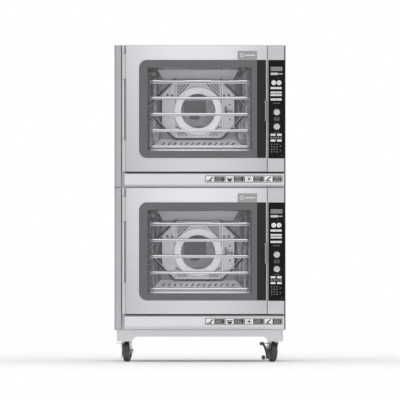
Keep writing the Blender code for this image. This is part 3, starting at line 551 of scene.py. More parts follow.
def copied(node):
    """The CAD solid itself, with its flats merged."""
    def draw(bm):
        bm.from_mesh(frame["nodes"][node].data)
        bmesh.ops.remove_doubles(bm, verts=bm.verts, dist=0.00002)
        bmesh.ops.dissolve_limit(bm, angle_limit=math.radians(0.5), verts=bm.verts, edges=bm.edges)
    return draw


# ---------------------------------------------------------------- pieces
def piece(name, look, *shapes, body=FIXED, node=None, slot=None, smooth=35, place=None):
    """Draws the shapes as one object, moved by place, smooth up to an angle in degrees, riding on its body.

    node is the CAD node that it stands for, if there is one. slot is not used: when none is given, the CAD
    material that goes with its look is looked up, and then dropped.
    """
    bm = bmesh.new()
    for draw in shapes:
        draw(bm)
    if place:
        bm.transform(place)
    bmesh.ops.recalc_face_normals(bm, faces=bm.faces)
    mesh = bpy.data.meshes.new(name)
    bm.to_mesh(mesh)
    bm.free()
    mesh.shade_smooth()
    mesh.set_sharp_from_angle(angle=math.radians(smooth))
    mesh.materials.append(M[look])
    obj = bpy.data.objects.new(name, mesh)
    bpy.context.scene.collection.objects.link(obj)
    flatten = obj.modifiers.new("flat_faces_stay_flat", "WEIGHTED_NORMAL")
    flatten.weight = 100
    flatten.keep_sharp = True
    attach(obj, body)
    if slot is None:
        slot = SLOT_OF.get(look)
    if node:
        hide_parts(node)
    return obj


def refine(name, node, look, width):
    """A copy of a CAD solid with its edges rounded, standing for the node."""
    bevel = piece(name, look, copied(node), node=node).modifiers.new("edges", "BEVEL")
    bevel.width = width
    bevel.segments = 2
    bevel.limit_method = "ANGLE"
    bevel.angle_limit = math.radians(40)
    bevel.use_clamp_overlap = True
    bevel.harden_normals = True


def dress(node, look):
    """Gives a CAD node that stays on show its material."""
    obj = frame["nodes"][node]
    obj.data.materials.clear()
    obj.data.materials.append(M[look])


def pan_head(radius):
    """A screw head's profile, with a socket in its top."""
    half = 0.0006
    head = [(0, half), (radius * 0.45, half), (radius * 0.45, 0.0020), (radius * 0.8, 0.0018)]
    return head + [(radius, half), (radius, -half), (0, -half)]


def screw_heads(name, places, toward, body=FIXED, radius=0.0042, look="screw"):
    """Pan-head screws as one piece."""
    heads = [turned(pan_head(radius), facing(place, toward), steps=18) for place in places]
    piece(name, look, *heads, body=body)


# ---------------------------------------------------------------- casing
HOOD_DEPTH, HOOD_SHEET, HOOD_HIGH = 0.0045, 0.0009, 0.014
LOUVRE_RISES = [0.030 * row for row in range(4)]


def hood(plane, face, out, low, start, end):
    """A pressed louvre hood over one slot: face is the sheet's surface, out the way it points."""
    top, tip, root = low + HOOD_HIGH, face + out * HOOD_DEPTH, face - out * 0.0004
    lip = ((root, top), (tip, low + 0.001), (tip - out * HOOD_SHEET, low), (root, top - 0.002))
    side = ((root, top), (tip, low + 0.001), (root, low + 0.001))
    shapes = [flat(start, end, lip, plane=plane, edge=0.0002)]
    for near in (start, end - HOOD_SHEET):
        shapes.append(flat(near, near + HOOD_SHEET, side, plane=plane, edge=0.0002))
    return group(shapes)


def build_casing(oven):
    """The wrapper's louvre hoods, cover screws, cable gland and pipe collars."""
    dress(oven + "casing", "casing")
    base, sides = BASE[oven], ((-1, "left", LEFT), (1, "right", RIGHT))
    hoods = []
    for side, _, face in sides:
        hoods += [hood("XZ", face, side, base + 0.10 + rise, 0.218, 0.342) for rise in LOUVRE_RISES]
    piece(oven + "side_louvre_hoods", "casing", *hoods)
    hoods = []
    for start in (-0.302, 0.118):
        hoods += [hood("YZ", BACK, 1, base + 0.48 + rise, start, start + 0.184) for rise in LOUVRE_RISES]
    piece(oven + "back_louvre_hoods", "casing", *hoods)

    cover = rectangle(-0.40, base + 0.14, 0.40, base + 0.70, 0.010)
    openings = [rectangle(start, base + 0.465, start + 0.20, base + 0.605, 0.006) for start in (-0.31, 0.11)]
    face = BACK + 0.0012
    piece(oven + "back_cover", "casing", flat(BACK - 0.0002, face, cover, *openings))
    spots = [(x, face, base + z) for x in (-0.385, -0.13, 0.13, 0.385) for z in (0.155, 0.42, 0.685)]
    screw_heads(oven + "back_cover_screws", spots, TO_BACK)
    for side, label, face in sides:
        spots = [(face, y, base + z) for y in (-0.335, 0.02, 0.37) for z in (0.03, HEIGHT - 0.03)]
        screw_heads(f"{oven}{label}_side_screws", spots, (side, 0, 0))

    collars = []
    for x, z, r in ((-0.33, 0.06, 0.020), (0.30, 0.07, 0.011), (0.37, 0.07, 0.011)):
        collar = [(r, 0), (r + 0.009, 0), (r + 0.009, 0.002), (r + 0.004, 0.005), (r, 0.007)]
        collars.append(turned(collar, facing((x, BACK, base + z), TO_BACK), closed=True))
    piece(oven + "pipe_collars", "screw", *collars)
    x, z, hang = -0.20, base + 0.07, BACK + 0.0285
    axis = facing((x, BACK, z), TO_BACK)
    nut = [(0, 0), (0.015, 0), (0.015, 0.008), (0, 0.008)]
    dome = [(0, 0.008), (0.0125, 0.008), (0.0125, 0.015), (0.0095, 0.021), (0.0065, 0.023), (0, 0.023)]
    cable = rounded_path([(x, BACK + 0.01, z), (x, hang, z), (x, hang, base + 0.004)], 0.016)
    shapes = turned(nut, axis, steps=6), turned(dome, axis, steps=32), tube(cable, 0.0055, sides=14)
    piece(oven + "mains_cable_gland", "dark", *shapes)


def build_top_cover():
    """The lid on the top casing: a shallow pressed sheet with its screws and the steam outlet's flange."""
    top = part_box("upper_casing")[1].z
    x, y, rim = 0.24, BACK - 0.11, 0.016
    outline = rectangle(LEFT + rim, PLATE + rim, RIGHT - rim, BACK - rim, 0.012)
    lid = flat(top - 0.0002, top + 0.0015, outline, circle(x, y, 0.030), plane="XY", edge=0.0006)
    piece("top_cover", "casing", lid)
    xs, ys = (LEFT + 0.03, 0, RIGHT - 0.03), (PLATE + 0.03, 0.02, BACK - 0.03)
    spots = [(a, b, top + 0.0015) for a in xs for b in ys if (a, b) != (0, 0.02)]
    screw_heads("top_cover_screws", spots, UP)
    flange = [(0.026, -0.004), (0.030, -0.004), (0.030, 0.0015), (0.044, 0.0015), (0.044, 0.003)]
    flange += [(0.029, 0.004), (0.028, 0.009), (0.026, 0.009)]
    axis = facing((x, y, top), UP)
    piece("steam_outlet_flange", "screw", turned(flange, axis, closed=True))
    grille = [turned([(0, -0.003), (0.0255, -0.003), (0.0255, -0.001), (0, -0.001)], axis)]
    for step in range(-2, 3):
        half, bar_y = 0.024 * math.cos(math.asin(step / 2.6)), y + 0.009 * step
        grille.append(tube([(x - half, bar_y, top + 0.002), (x + half, bar_y, top + 0.002)], 0.0014))
    piece("steam_outlet_grille", "dark", *grille)


# ---------------------------------------------------------------- front frame and stand
STILE_RIGHT = HINGE.x - 0.0120
KNUCKLE_R, PIN_R = 0.0065, 0.003
FIXED_KNUCKLES = ((0.2550, 0.5730), (0.7090, 0.7520))
DOOR_KNUCKLES = ((0.0850, 0.2530), (0.5750, 0.7070))
FASCIA = (-0.3996, 0.0027, 0.4457, 0.0715)
FASCIA_BEVEL, FASCIA_SOFT = 0.0158, 0.0018
LABEL = (0.0262, 0.0262, 0.4385, 0.0640)
EDGE_SHADE_WIDE = 0.0030


def knuckle(low, high, bore):
    """A hinge barrel with rolled ends and a through bore."""
    height, radius, soft = high - low, KNUCKLE_R, 0.0008
    profile = [(bore, 0), (radius - soft, 0), (radius, soft)]
    profile += [(radius, height - soft), (radius - soft, height), (bore, height)]
    return turned(profile, Matrix.Translation((HINGE.x, HINGE.y, low)), steps=28, closed=True)


def build_front_frame(oven):
    """The front plate with its stile, and the fixed knuckles and pin of the hinge."""
    node, base = oven + "front_frame", BASE[oven]
    x0, _, x1, _ = seen_from_front(node)
    outer = rectangle(x0, base + 0.0018, x1, base + HEIGHT - 0.0018)
    mouth = around(seen_from_front(oven + "cavity"), -0.0015, 0.012)
    stile = rectangle(x0 + 0.0005, base + 0.0025, STILE_RIGHT, base + HEIGHT - 0.0025, 0.0012)
    plate = flat(PLATE, PLATE + 0.002, outer, mouth, edge=0.0005)
    stile = flat(PLATE - 0.030, PLATE + 0.001, stile, edge=0.0010)
    piece(node + "_stile_plate", "stile", plate, stile, node=node)
    build_edge_shades(oven)
    shapes = []
    for start, end in FIXED_KNUCKLES:
        arm_low = (HINGE.x - 0.0045, HINGE.y + 0.003, base + start + 0.0005)
        shapes.append(knuckle(base + start, base + end, PIN_R))
        shapes.append(box(arm_low, (HINGE.x + 0.0045, PLATE + 0.001, base + end - 0.0005), 0.0008))
    piece(oven + "fixed_hinge_knuckles", "hinge", *shapes)
    low, high, soft = base + DOOR_KNUCKLES[0][0] - 0.001, base + FIXED_KNUCKLES[1][1] + 0.001, 0.0006
    pin = [(0, low), (PIN_R - soft, low), (PIN_R, low + soft)]
    pin += [(PIN_R, high - soft), (PIN_R - soft, high), (0, high)]
    piece(oven + "hinge_pin", "screw", turned(pin, Matrix.Translation((HINGE.x, HINGE.y, 0)), steps=24))
    build_fascia(oven)
    build_label(oven)


def build_edge_shades(oven):
    """Painted shade: dark strips on the casing's and column's edges and in the stile's gap, a darker steel
    strip along the casing's top edge, and the drip channel under the door darkened as its shadow gap.
    """
    base, top, wide = BASE[oven], BASE[oven] + HEIGHT, EDGE_SHADE_WIDE
    edges = [(LEFT + 0.0008, PLATE - 0.0315), (RIGHT + 0.0004 - wide, PLATE - 0.0315)]
    shapes = [box((x, y, base + 0.001), (x + wide, PLATE + 0.008, top - 0.0005), 0.0007) for x, y in edges]
    gap = STILE_RIGHT + 0.0006
    gap_high = (gap + 0.0018, PLATE + 0.001, top - 0.003)
    shapes.append(box((gap, PLATE - 0.0060, base + 0.003), gap_high, 0.0006))
    _, z0, side, z1 = seen_from_front(oven + "control_housing")
    column_high = (side + 0.0002, FRONT + 0.0100, z1 - 0.0008)
    shapes.append(box((side - 0.0042, FRONT - 0.0004, z0 + 0.0008), column_high, 0.0004))
    # These strips are painted shade along the edges and in the stile's gap.
    piece(oven + "casing_edge_shade", "trim", *shapes)
    # A darker copy of the steel along the top edge: painted shade for the line there.
    lid_low, lid_high = (LEFT, PLATE - 0.0015, top - wide + 0.0004), (RIGHT, PLATE + 0.008, top + 0.0004)
    piece(oven + "top_edge_shade", "hinge", box(lid_low, lid_high, 0.0007))
    # The drip channel is a real part, darkened as painted shade under the door.
    channel_top = base + DOOR_KNUCKLES[0][0] - 0.0015
    channel_low = (FASCIA[0] + 0.004, PLATE - 0.006, channel_top - 0.0072)
    piece(oven + "drip_channel", "trim", box(channel_low, (FASCIA[2], PLATE + 0.001, channel_top), 0.0008))


def build_fascia(oven):
    """The folded panel below the door, its edges rounded and its lower one bevelled."""
    x0, z0, x1, z1 = raised(FASCIA, BASE[oven])
    deep = 0.03
    bend = [(FRONT, z0 + deep), (FRONT, z0 + FASCIA_BEVEL), (FRONT + FASCIA_BEVEL, z0), (FRONT + deep, z0)]
    bend = rounded_outline(bend, 0.003, closed=False, steps=4)
    top = arc(FRONT + FASCIA_SOFT, z1 - FASCIA_SOFT, FASCIA_SOFT, 180, 90, 4)
    outline = [(PLATE, z1), *reversed(top), *bend[1:-1], (PLATE, z0)]
    piece(oven + "fascia", "front", flat(x0, x1, outline, plane="YZ", edge=0.0010), smooth=50)
    inset, lift = 0.0016, 0.0003
    low = (FRONT + FASCIA_BEVEL - inset - lift, z0 + inset - lift)
    high = (FRONT + inset - lift, z0 + FASCIA_BEVEL - inset - lift)
    corners = [(x0 + inset, *high), (x0 + inset, *low), (x1 - inset, *low), (x1 - inset, *high)]
    piece(oven + "fascia_bevel", "bevel", panel(corners, 0.0010))


def build_label(oven):
    """The strip of generic pictograms on the fascia: four tiles, each with a sign and three plain bars."""
    bounds = raised(LABEL, BASE[oven])
    x0, z0, x1, z1 = bounds
    strip = flat(FRONT - 0.0006, FRONT + 0.0003, around(bounds, 0, 0.006), edge=0.0002)
    piece(oven + "label_strip", "label_ink", strip)
    near, far = FRONT - 0.0009, FRONT - 0.0004
    line, rim, mid_z = 0.0024, 0.0030, (z0 + z1) / 2
    cell = (x1 - x0) / 4
    rims = around(bounds, -rim, 0.004), around(bounds, -rim - line, 0.002)
    frame_line = flat(near, far, *rims, edge=0.0001)
    marks, signs = [], []
    for i in range(4):
        left, divider = x0 + cell * i + 0.0062, x0 + cell * (i + 1)
        marks.append(rectangle(left, z0 + 0.0058, left + cell * 0.42, z1 - 0.0058, 0.003))
        if i < 3:
            marks.append(rectangle(divider - 0.0008, z0 + 0.004, divider + 0.0008, z1 - 0.004))
        for row in range(3):
            bar_z, bar_left = mid_z + 0.0072 * (1 - row), left + cell * 0.42 + 0.006
            length = cell * (0.36, 0.30, 0.33)[(row + i) % 3]
            marks.append(rectangle(bar_left, bar_z - 0.0006, bar_left + length, bar_z + 0.0006))
        signs += pictogram(i, left + cell * 0.21, mid_z)
    piece(oven + "label_print_white", "label", frame_line, prints(near, far, marks))
    piece(oven + "label_pictograms", "label_ink", prints(FRONT - 0.0013, FRONT - 0.0007, signs))


def pictogram(kind, x, z):
    """Outlines of a plain kitchen sign: a tray, a bowl, a ring of heat or a fan blade."""
    if kind == 0:
        blade = rectangle(x - 0.019, z - 0.0125, x + 0.010, z - 0.0070)
        return [slanted(x + 0.006, z + 0.002, 0.026, 0.0062, 42), blade]
    if kind == 1:
        return [arc(x, z, 0.014, 180, 360, 10), rectangle(x - 0.017, z + 0.0025, x + 0.017, z + 0.0065)]
    if kind == 2:
        rays = enumerate(circle(x, z, 0.0115, 6))
        return [circle(x, z, 0.0058, 16)] + [slanted(a, b, 0.0075, 0.0036, 60 * i) for i, (a, b) in rays]
    foot = slanted(x - 0.003, z - 0.0095, 0.026, 0.0056, 0)
    return [slanted(x + 0.002, z + 0.003, 0.028, 0.0062, 35), foot]


def build_stand():
    """The welded base with its weld beads and the bolts through the caster plates."""
    refine("stand_frame", "stand_frame", "stand", width=0.0009)
    low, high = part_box("stand_frame")
    beads = []
    for x in (low.x, high.x):
        for y in (low.y, high.y):
            path = []
            for i in range(23):
                inward = 0.0006 - 0.0003 * (i % 2)
                at = (x - math.copysign(inward, x), y - math.copysign(inward, y), low.z + 0.004 + 0.0025 * i)
                path.append(at)
            beads.append(tube(path, 0.0016, sides=8))
    piece("stand_weld_beads", "stand", *beads)
    head = [(0, 0.0005), (0.0070, 0.0005), (0.0076, 0), (0.0076, -0.0045), (0.0068, -0.0055), (0, -0.0055)]
    washer = [(0.003, 0.0004), (0.0098, 0.0004), (0.0098, -0.0012), (0.003, -0.0012)]
    bolts, reach = [], 0.036
    for name in CASTERS:
        centre = PIVOT[f"caster_{name}_swivel"]
        for dx, dy in ((-reach, -reach), (-reach, reach), (reach, -reach), (reach, reach)):
            spot = Matrix.Translation((centre.x + dx, centre.y + dy, CASTER_PLATE_LOW))
            bolts += [turned(head, spot, steps=6), turned(washer, spot, steps=28, closed=True)]
    piece("caster_plate_bolts", "zinc", *bolts)


# ---------------------------------------------------------------- casters
CASTERS = ("front_left", "front_right", "rear_left", "rear_right")
CASTER_PLATE_LOW, CROWN_TOP, CROWN_LOW = 0.1300, 0.1297, 0.112
TRAIL, WHEEL_R, WHEEL_HALF = 0.028, 0.052, 0.016
CHEEK, CHEEK_THICK = 0.0185, 0.003
AXLE_R, AXLE_CLEAR = 0.0055, 0.0006
BRAKE_REACH = {"front_left": (0.030, 0.030), "front_right": (0.054, 0.042)}  # upper and lower foot tab


def build_caster(place):
    """One swivel caster: its fork with the ball race, axle bolt and wheel, and a brake on the front ones."""
    swivel, across = PIVOT[f"caster_{place}_swivel"], AXIS[f"caster_{place}_roll"]
    body, node = f"caster_{place}", f"caster_fork_{place}"
    turn = Matrix.Rotation(math.atan2(across.y, across.x), 4, "Z")
    local = Matrix.Translation((swivel.x, swivel.y, 0)) @ turn
    top, low = CROWN_TOP, CROWN_LOW
    race = [(0, top), (0.026, top), (0.0285, top - 0.002), (0.0285, top - 0.006), (0.030, top - 0.008)]
    race += [(0.030, low + 0.002), (0.027, low), (0, low)]
    crown = box((-0.0212, -0.0138, low - 0.0028), (0.0212, 0.0298, low + 0.002), 0.0012)
    cheek = [(-0.0140, low), (-0.0140, low - 0.016), *arc(TRAIL, WHEEL_R, 0.012, 200, 360, 14)]
    cheek = rounded_outline(cheek + [(0.036, low - 0.016), (0.030, low)], 0.003, steps=2)
    inside, outside = CHEEK, CHEEK + CHEEK_THICK
    cheeks = [flat(x, x + CHEEK_THICK, cheek, plane="YZ", edge=0.0006) for x in (-outside, inside)]
    shapes = turned(race, Matrix.Identity(4)), crown, *cheeks
    piece(f"{node}_body", "zinc", *shapes, body=body, place=local, node=node)

    reach = outside + 0.0085
    stub = [(0, -reach), (AXLE_R - 0.001, -reach), (AXLE_R, 0.001 - reach)]
    stub += [(AXLE_R, reach - 0.003), (0, reach - 0.003)]
    nut = [(0, reach - 0.0075), (0.0085, reach - 0.0075), (0.0090, reach - 0.0068), (0.0090, reach - 0.0005)]
    nut += [(0.0080, reach), (0.0055, reach), (0.0050, reach - 0.001), (0, reach - 0.001)]
    near, far = CHEEK + 0.003, CHEEK + 0.0045
    washer = [(0.004, near), (0.0105, near), (0.0105, far), (0.004, far)]
    axle = Matrix.Translation((0, TRAIL, WHEEL_R))
    spin = axle @ Matrix.Rotation(math.radians(90), 4, "Y")
    washer = turned(washer, spin, steps=28, closed=True)
    shapes = turned(stub, spin, steps=24), turned(nut, spin, steps=6), washer
    piece(f"caster_axle_bolt_{place}", "screw", *shapes, body=body, place=local, slot="zinc")
    build_wheel(place, facing(PIVOT[f"caster_{place}_roll"], across))
    if place in BRAKE_REACH:
        build_brake(place, local @ axle)


def flipped(profile):
    """The other half of a turned shape that is alike on both sides."""
    return [(radius, -height) for radius, height in reversed(profile)]


def build_wheel(place, spin):
    """Tyre with a crowned tread, its dished centre, and the bearing's shields."""
    body, node = f"caster_{place}_wheel", f"caster_wheel_{place}"
    r, half, tyre_in = WHEEL_R, WHEEL_HALF, WHEEL_R - 0.012
    tread = [(tyre_in, half - 0.0015), (r - 0.0095, half - 0.0004), (r - 0.0055, half - 0.0012)]
    tread += [(r - 0.0022, half - 0.0035), (r - 0.0003, half - 0.0075), (r, half - 0.011), (r, 0.0012)]
    groove = [(r - 0.0006, 0.0006)]
    tyre = turned(tread + groove + flipped(tread), spin, steps=72, closed=True)
    piece(f"{node}_tyre", "tyre", tyre, body=body, node=node)
    dish = [(AXLE_R + AXLE_CLEAR, 0.0155), (0.0105, 0.0155), (0.0120, 0.0140), (0.0150, 0.0125)]
    dish += [(0.0175, 0.0085), (0.0300, 0.0075), (0.0350, 0.0115), (tyre_in + 0.0002, 0.0125)]
    centre = turned(dish + flipped(dish), spin, steps=72, closed=True)
    piece(f"{node}_centre", "wheel_centre", centre, body=body)
    shields = []
    for side in BOTH:
        shield = ((0.0070, 0.0152), (0.0100, 0.0152), (0.0100, 0.0160), (0.0070, 0.0160))
        shield = [(radius, side * height) for radius, height in shield]
        shields.append(turned(shield, spin, steps=32, closed=True))
    piece(f"{node}_bearing_shields", "screw", *shields, body=body)


def build_brake(place, axle):
    """The brake rocker outside the fork, with two foot tabs, drawn about the axle that it turns on."""
    node, body, right = f"brake_pedal_{place}", f"caster_{place}_brake", place.endswith("right")
    outer = -CHEEK - CHEEK_THICK - 0.0010
    inner = outer - 0.0025
    rocker = [*arc(0, 0, 0.011, -60, 80, 12), (-0.030, 0.048), (-0.042, 0.048), (-0.040, 0.036)]
    rocker += [(-0.024, 0.004), (-0.030, -0.018), (-0.040, -0.026), (-0.036, -0.034), (-0.022, -0.030)]
    bore = circle(0, 0, AXLE_R + AXLE_CLEAR, 24)
    upper, lower = inner - BRAKE_REACH[place][0], inner - BRAKE_REACH[place][1]
    shapes = [
        flat(inner, outer, rounded_outline(rocker, 0.0022), bore, plane="YZ", edge=0.0005),
        box((upper, -0.046, 0.0445), (outer - 0.0002, -0.030, 0.0475), 0.0012, 3),
        box((lower, -0.041, -0.0335), (outer - 0.0002, -0.026, -0.0300), 0.0012, 3),
    ]
    for i in range(4):
        y = -0.0435 + 0.0038 * i
        shapes.append(box((upper + 0.002, y, 0.0470), (inner - 0.003, y + 0.0014, 0.0483), 0.0004, 1))
    look = "pedal" if right else "pedal_light"
    piece(f"{node}_rocker", look, *shapes, body=body, place=axle, node=node)
    if right:
        arm = [(-0.042, -0.038, 0.0440), (-0.029, -0.034, 0.034), (-0.020, -0.032, 0.010)]
        arm += [(-0.015, -0.032, -0.012), (-0.013, -0.034, -0.036)]
        arm = rounded_path([Vector((inner, 0, 0)) + Vector(point) for point in arm], 0.010)
        shapes = [
            box((upper - 0.001, -0.050, 0.0360), (upper + 0.021, -0.028, 0.0530), 0.006, 3),
            box((lower - 0.001, -0.045, -0.0400), (lower + 0.015, -0.024, -0.0180), 0.005, 3),
            tube(arm, 0.0062, sides=12),
            box((inner - 0.022, -0.036, 0.004), (inner + 0.0005, -0.026, 0.012), 0.002),
        ]
        piece(f"{node}_foot_pads", "tyre", *shapes, body=body, place=axle)


# ---------------------------------------------------------------- cooking chamber
WALL, FLOOR, ROOF = 0.300, 0.185, 0.655
SHEET = 0.0015
BAFFLE_Y, LIP_Y, PLATE_Y = 0.150, 0.095, 0.112  # the baffle's rear, its lips' front and its middle plate
INLET_R, RING_R = 0.091, 0.130
SEAM, WING = 0.125, 0.193  # half widths of the baffle's middle section and of the whole plate
PLATE_TOP, PLATE_LOW = 0.168, -0.144  # from the fan's centre
WING_HOLES = ((0.164, 0.0855), (0.138, 0.0830))


def build_cavity(oven):
    """The liner stays as modelled; it gains a lamp, a spray pipe, a drain sieve and the drip tray's edges:
    its lip, and a dark bar behind it that is painted shadow.
    """
    dress(oven + "cavity", "liner")
    base = BASE[oven]
    lamp = facing((-0.2507, 0.060, base + 0.6069), TO_FRONT)
    rim = [(0.0165, -0.02), (0.0262, -0.02), (0.0262, 0.006)]
    rim += [(0.0235, 0.010), (0.0190, 0.010), (0.0165, 0.007)]
    piece(oven + "lamp_bezel", "lamp_rim", turned(rim, lamp, closed=True))
    dome = [(0, 0.0095), (0.006, 0.0090), (0.011, 0.0072), (0.0150, 0.0040)]
    dome += [(0.0168, 0.0005), (0.0168, -0.006), (0, -0.006)]
    piece(oven + "lamp_glass", "lamp", turned(dome, lamp))
    pipe = [(0.268, 0.120, base + 0.650), (0.2496, 0.080, base + 0.628), (0.2152, 0.070, base + 0.582)]
    pipe.append((0.2100, 0.075, base + 0.574))
    piece(oven + "steam_spray_pipe", "wire", tube(rounded_path(pipe, 0.010), 0.0032, sides=14), slot="")
    drain_y = 0.02
    sieve = [circle(0, drain_y, 0.0252, 40)]
    for ring, count in ((0.009, 6), (0.018, 12)):
        sieve += [circle(a, b, 0.0026, 10) for a, b in circle(0, drain_y, ring, count)]
    floor = base + FLOOR
    piece(oven + "drain_sieve", "screw", flat(floor - 0.0012, floor + 0.0008, *sieve, plane="XY"))
    # The rear bar is painted shadow, dark behind the tray's lip.
    tray_lip, tray_shadow_bar = ("tray_lip", 0.268, -0.300, 0.1895, 0.2035), ("tray", 0.262, -0.284, 0.1980, 0.2140)
    for label, (look, half, y, z0, z1) in (("lip", tray_lip), ("rear", tray_shadow_bar)):
        bar = box((-half, y, base + z0), (half, y + 0.008, base + z1), 0.0015)
        piece(f"{oven}drip_tray_{label}", look, bar)
    spots = [facing((x, 0.234, base + z), TO_FRONT) for x in (-0.25, 0.25) for z in (0.27, 0.56)]
    piece(oven + "liner_bolts", "screw", *[turned(pan_head(0.007), spot, steps=24) for spot in spots])


def lip(fan, top, low):
    """A flared lip, symmetric about the fan's centre; top and low are (half width, z, y)."""
    (half_top, z_top, y_top), (half_low, z_low, y_low) = top, low
    corners = (fan.x - half_low, y_low, z_low), (fan.x + half_low, y_low, z_low)
    return panel((*corners, (fan.x + half_top, y_top, z_top), (fan.x - half_top, y_top, z_top)), SHEET)


def build_baffle(oven):
    """The air baffle: flared lips round an eight-sided plate, with its ring, guard and louvres."""
    node, base, fan = oven + "fan_baffle", BASE[oven], FAN[oven]
    top_lip = lip(fan, (0.2160, base + 0.6290, LIP_Y), (0.1880, base + 0.5790, BAFFLE_Y - 0.02))
    piece(node + "_top_lip", "lip", top_lip, node=node)
    bottom_lip = lip(fan, (0.2000, base + 0.2600, BAFFLE_Y - 0.02), (0.2640, base + 0.1965, LIP_Y - 0.03))
    piece(node + "_bottom_lip", "sill", bottom_lip)
    # Painted shade: dark pieces in the bottom lip's slots, for the shade inside them.
    slots = []
    for i in range(13):
        slot = slanted(fan.x - 0.186 + 0.0310 * i, base + 0.2335, 0.021, 0.0050, 52 if i % 2 else 44)
        slots.append(flat(LIP_Y + 0.0010, LIP_Y + 0.0150, slot, edge=0.0002))
    piece(node + "_lip_slot_shade", "shadow", *slots)

    lips, rear_plates = [], []
    for side in BOTH:
        wall, root, rear = side * (WALL - 0.008), fan.x + side * 0.188, BAFFLE_Y - 0.012
        root_low, root_high = (root, rear, base + 0.262), (root, rear, base + 0.582)
        wall_low, wall_high = (wall, LIP_Y, base + 0.196), (wall, LIP_Y, base + 0.645)
        for corners in ([root_low, wall_low, wall_high, root_high],
                        [root_high, wall_high, (fan.x + side * 0.216, LIP_Y, base + 0.645)]):
            lips.append(panel(corners if side > 0 else corners[::-1], SHEET))
        a0, a1 = sorted((fan.x + side * (SEAM + 0.004), fan.x + side * 0.199))
        plate = rectangle(a0, base + 0.256, a1, base + 0.584)
        rear_plates.append(flat(BAFFLE_Y - 0.0145, BAFFLE_Y - 0.0125, plate, edge=0.0003))
    piece(node + "_side_lips", "side_lip", *lips)
    # The back plate is coloured as shadow: painted shade behind the louvres, the wing holes and the guard.
    outline = rectangle(fan.x - 0.200, base + 0.255, fan.x + 0.200, base + 0.585)
    rear = flat(BAFFLE_Y - 0.012, BAFFLE_Y - 0.010, outline, circle(fan.x, fan.z, INLET_R), edge=0.0003)
    piece(node + "_back_plate", "shadow", rear, slot="liner_steel")
    piece(node + "_side_plates", "rear", *rear_plates)
    build_baffle_plate(node, fan)
    build_braces(node, fan)
    build_inlet(node, fan)
    build_probe(oven, fan)


def louvre_slots(x, z):
    """Parallel slots across each corner beside the ring, cut off at the plate's edges."""
    slots, edge_x = [], SEAM - 0.0120
    for side in BOTH:
        for rise, edge_z, width in ((1, 0.1460, 0.0052), (-1, 0.1340, 0.0042)):
            for step in range(4):
                reach = (RING_R + 0.0068 + 0.0122 * step) * math.sqrt(2)
                near_x = max(reach - edge_z, 0.010)
                length = (edge_x - near_x) * math.sqrt(2)
                mid_x = (near_x + edge_x) / 2
                if length >= 0.012:
                    middle_x, middle_z = x + side * mid_x, z + rise * (reach - mid_x)
                    slots.append(slanted(middle_x, middle_z, length, width, -45 * side * rise))
    return slots


def build_baffle_plate(node, fan):
    """The middle section and its two wings, the folds at their seams, and painted shade in the gaps round
    them.
    """
    x, z, near, far = fan.x, fan.z, PLATE_Y, PLATE_Y + 0.0018
    half, corner, shoulder = SEAM - 0.0008, 0.111, 0.1555
    outline = [(-half, PLATE_LOW), (half, PLATE_LOW), (half, shoulder)]
    outline += [(corner, PLATE_TOP), (-corner, PLATE_TOP), (-half, shoulder)]
    outline = [(x + a, z + b) for a, b in outline]
    holes = [circle(x + side * (SEAM - 0.0095), z - 0.086, 0.0042, 14) for side in BOTH]
    openings = (circle(x, z, INLET_R + 0.004, 72), *louvre_slots(x, z), *holes)
    piece(node + "_middle_plate", "baffle", flat(near, far, outline, *openings, edge=0.0005))

    wings, folds, bolts = [], [], []
    low = z + PLATE_LOW
    # Painted shade: dark boxes for the shadow under the plate and in the gaps beside the wings.
    gaps = [box((x - 0.130, near - 0.002, low - 0.0075), (x + 0.130, near + 0.012, low - 0.0006), 0.001)]
    for side in BOTH:
        points = [(SEAM + 0.0010, -0.137), (WING, -0.069), (WING, 0.088), (SEAM + 0.0010, 0.155)]
        shape = [(x + side * a, z + b) for a, b in points]
        spots = [(x + side * a, z + b) for a, b in WING_HOLES]
        holes = [circle(*spots[0], 0.0062, 20), circle(*spots[1], 0.0044, 16)]
        wings.append(flat(near + 0.0012, far + 0.0012, shape, *holes, edge=0.0005))
        # bolts holds where the dark discs of painted shade go, over the holes.
        bolts += [(a, near + 0.0012, b) for a, b in spots]
        seam = x + side * (SEAM + 0.0042)
        fold = rectangle(seam - 0.0030, z - 0.138, seam + 0.0030, z + 0.150, 0.0015)
        folds.append(flat(near - 0.0022, near + 0.0014, fold, edge=0.0008))
        outer, half = x + side * (WING + 0.0035), 0.0030
        gap_high = (outer + half, near + 0.012, z + 0.088)
        gaps.append(box((outer - half, near + 0.003, z - 0.070), gap_high, 0.001))
    piece(node + "_wings", "baffle", *wings)
    # Painted shade: dark discs over the wings' holes, shaped as screw heads, for the shade inside the holes.
    screw_heads(node + "_wing_hole_shade", bolts, TO_FRONT, radius=0.0060, look="shadow")
    piece(node + "_seam_folds", "ring", *folds)
    piece(node + "_plate_edge_shade", "shadow", *gaps)


def build_braces(node, fan):
    """Four round braces from the plate's corners to the walls, and a painted shadow beside each: a dark tube.
    """
    wires, gaps, aside = [], [], 0.0052
    for side in BOTH:
        for line in (((0.113, 0.168), (0.2600, 0.0240)), ((0.127, -0.140), (0.2370, -0.0240))):
            wire = [(fan.x + side * a, PLATE_Y - 0.004, fan.z + b) for a, b in line]
            wires.append(tube(wire, 0.0030, sides=12))
            # Painted shadow: a dark tube just outside and behind each brace.
            line = [(a + aside, b + math.copysign(aside, b)) for a, b in line]
            gap = [(fan.x + side * a, PLATE_Y + 0.004, fan.z + b) for a, b in line]
            gaps.append(tube(gap, 0.0030, sides=10))
    piece(node + "_corner_braces", "wire", *wires)
    piece(node + "_brace_shadows", "shadow", *gaps)


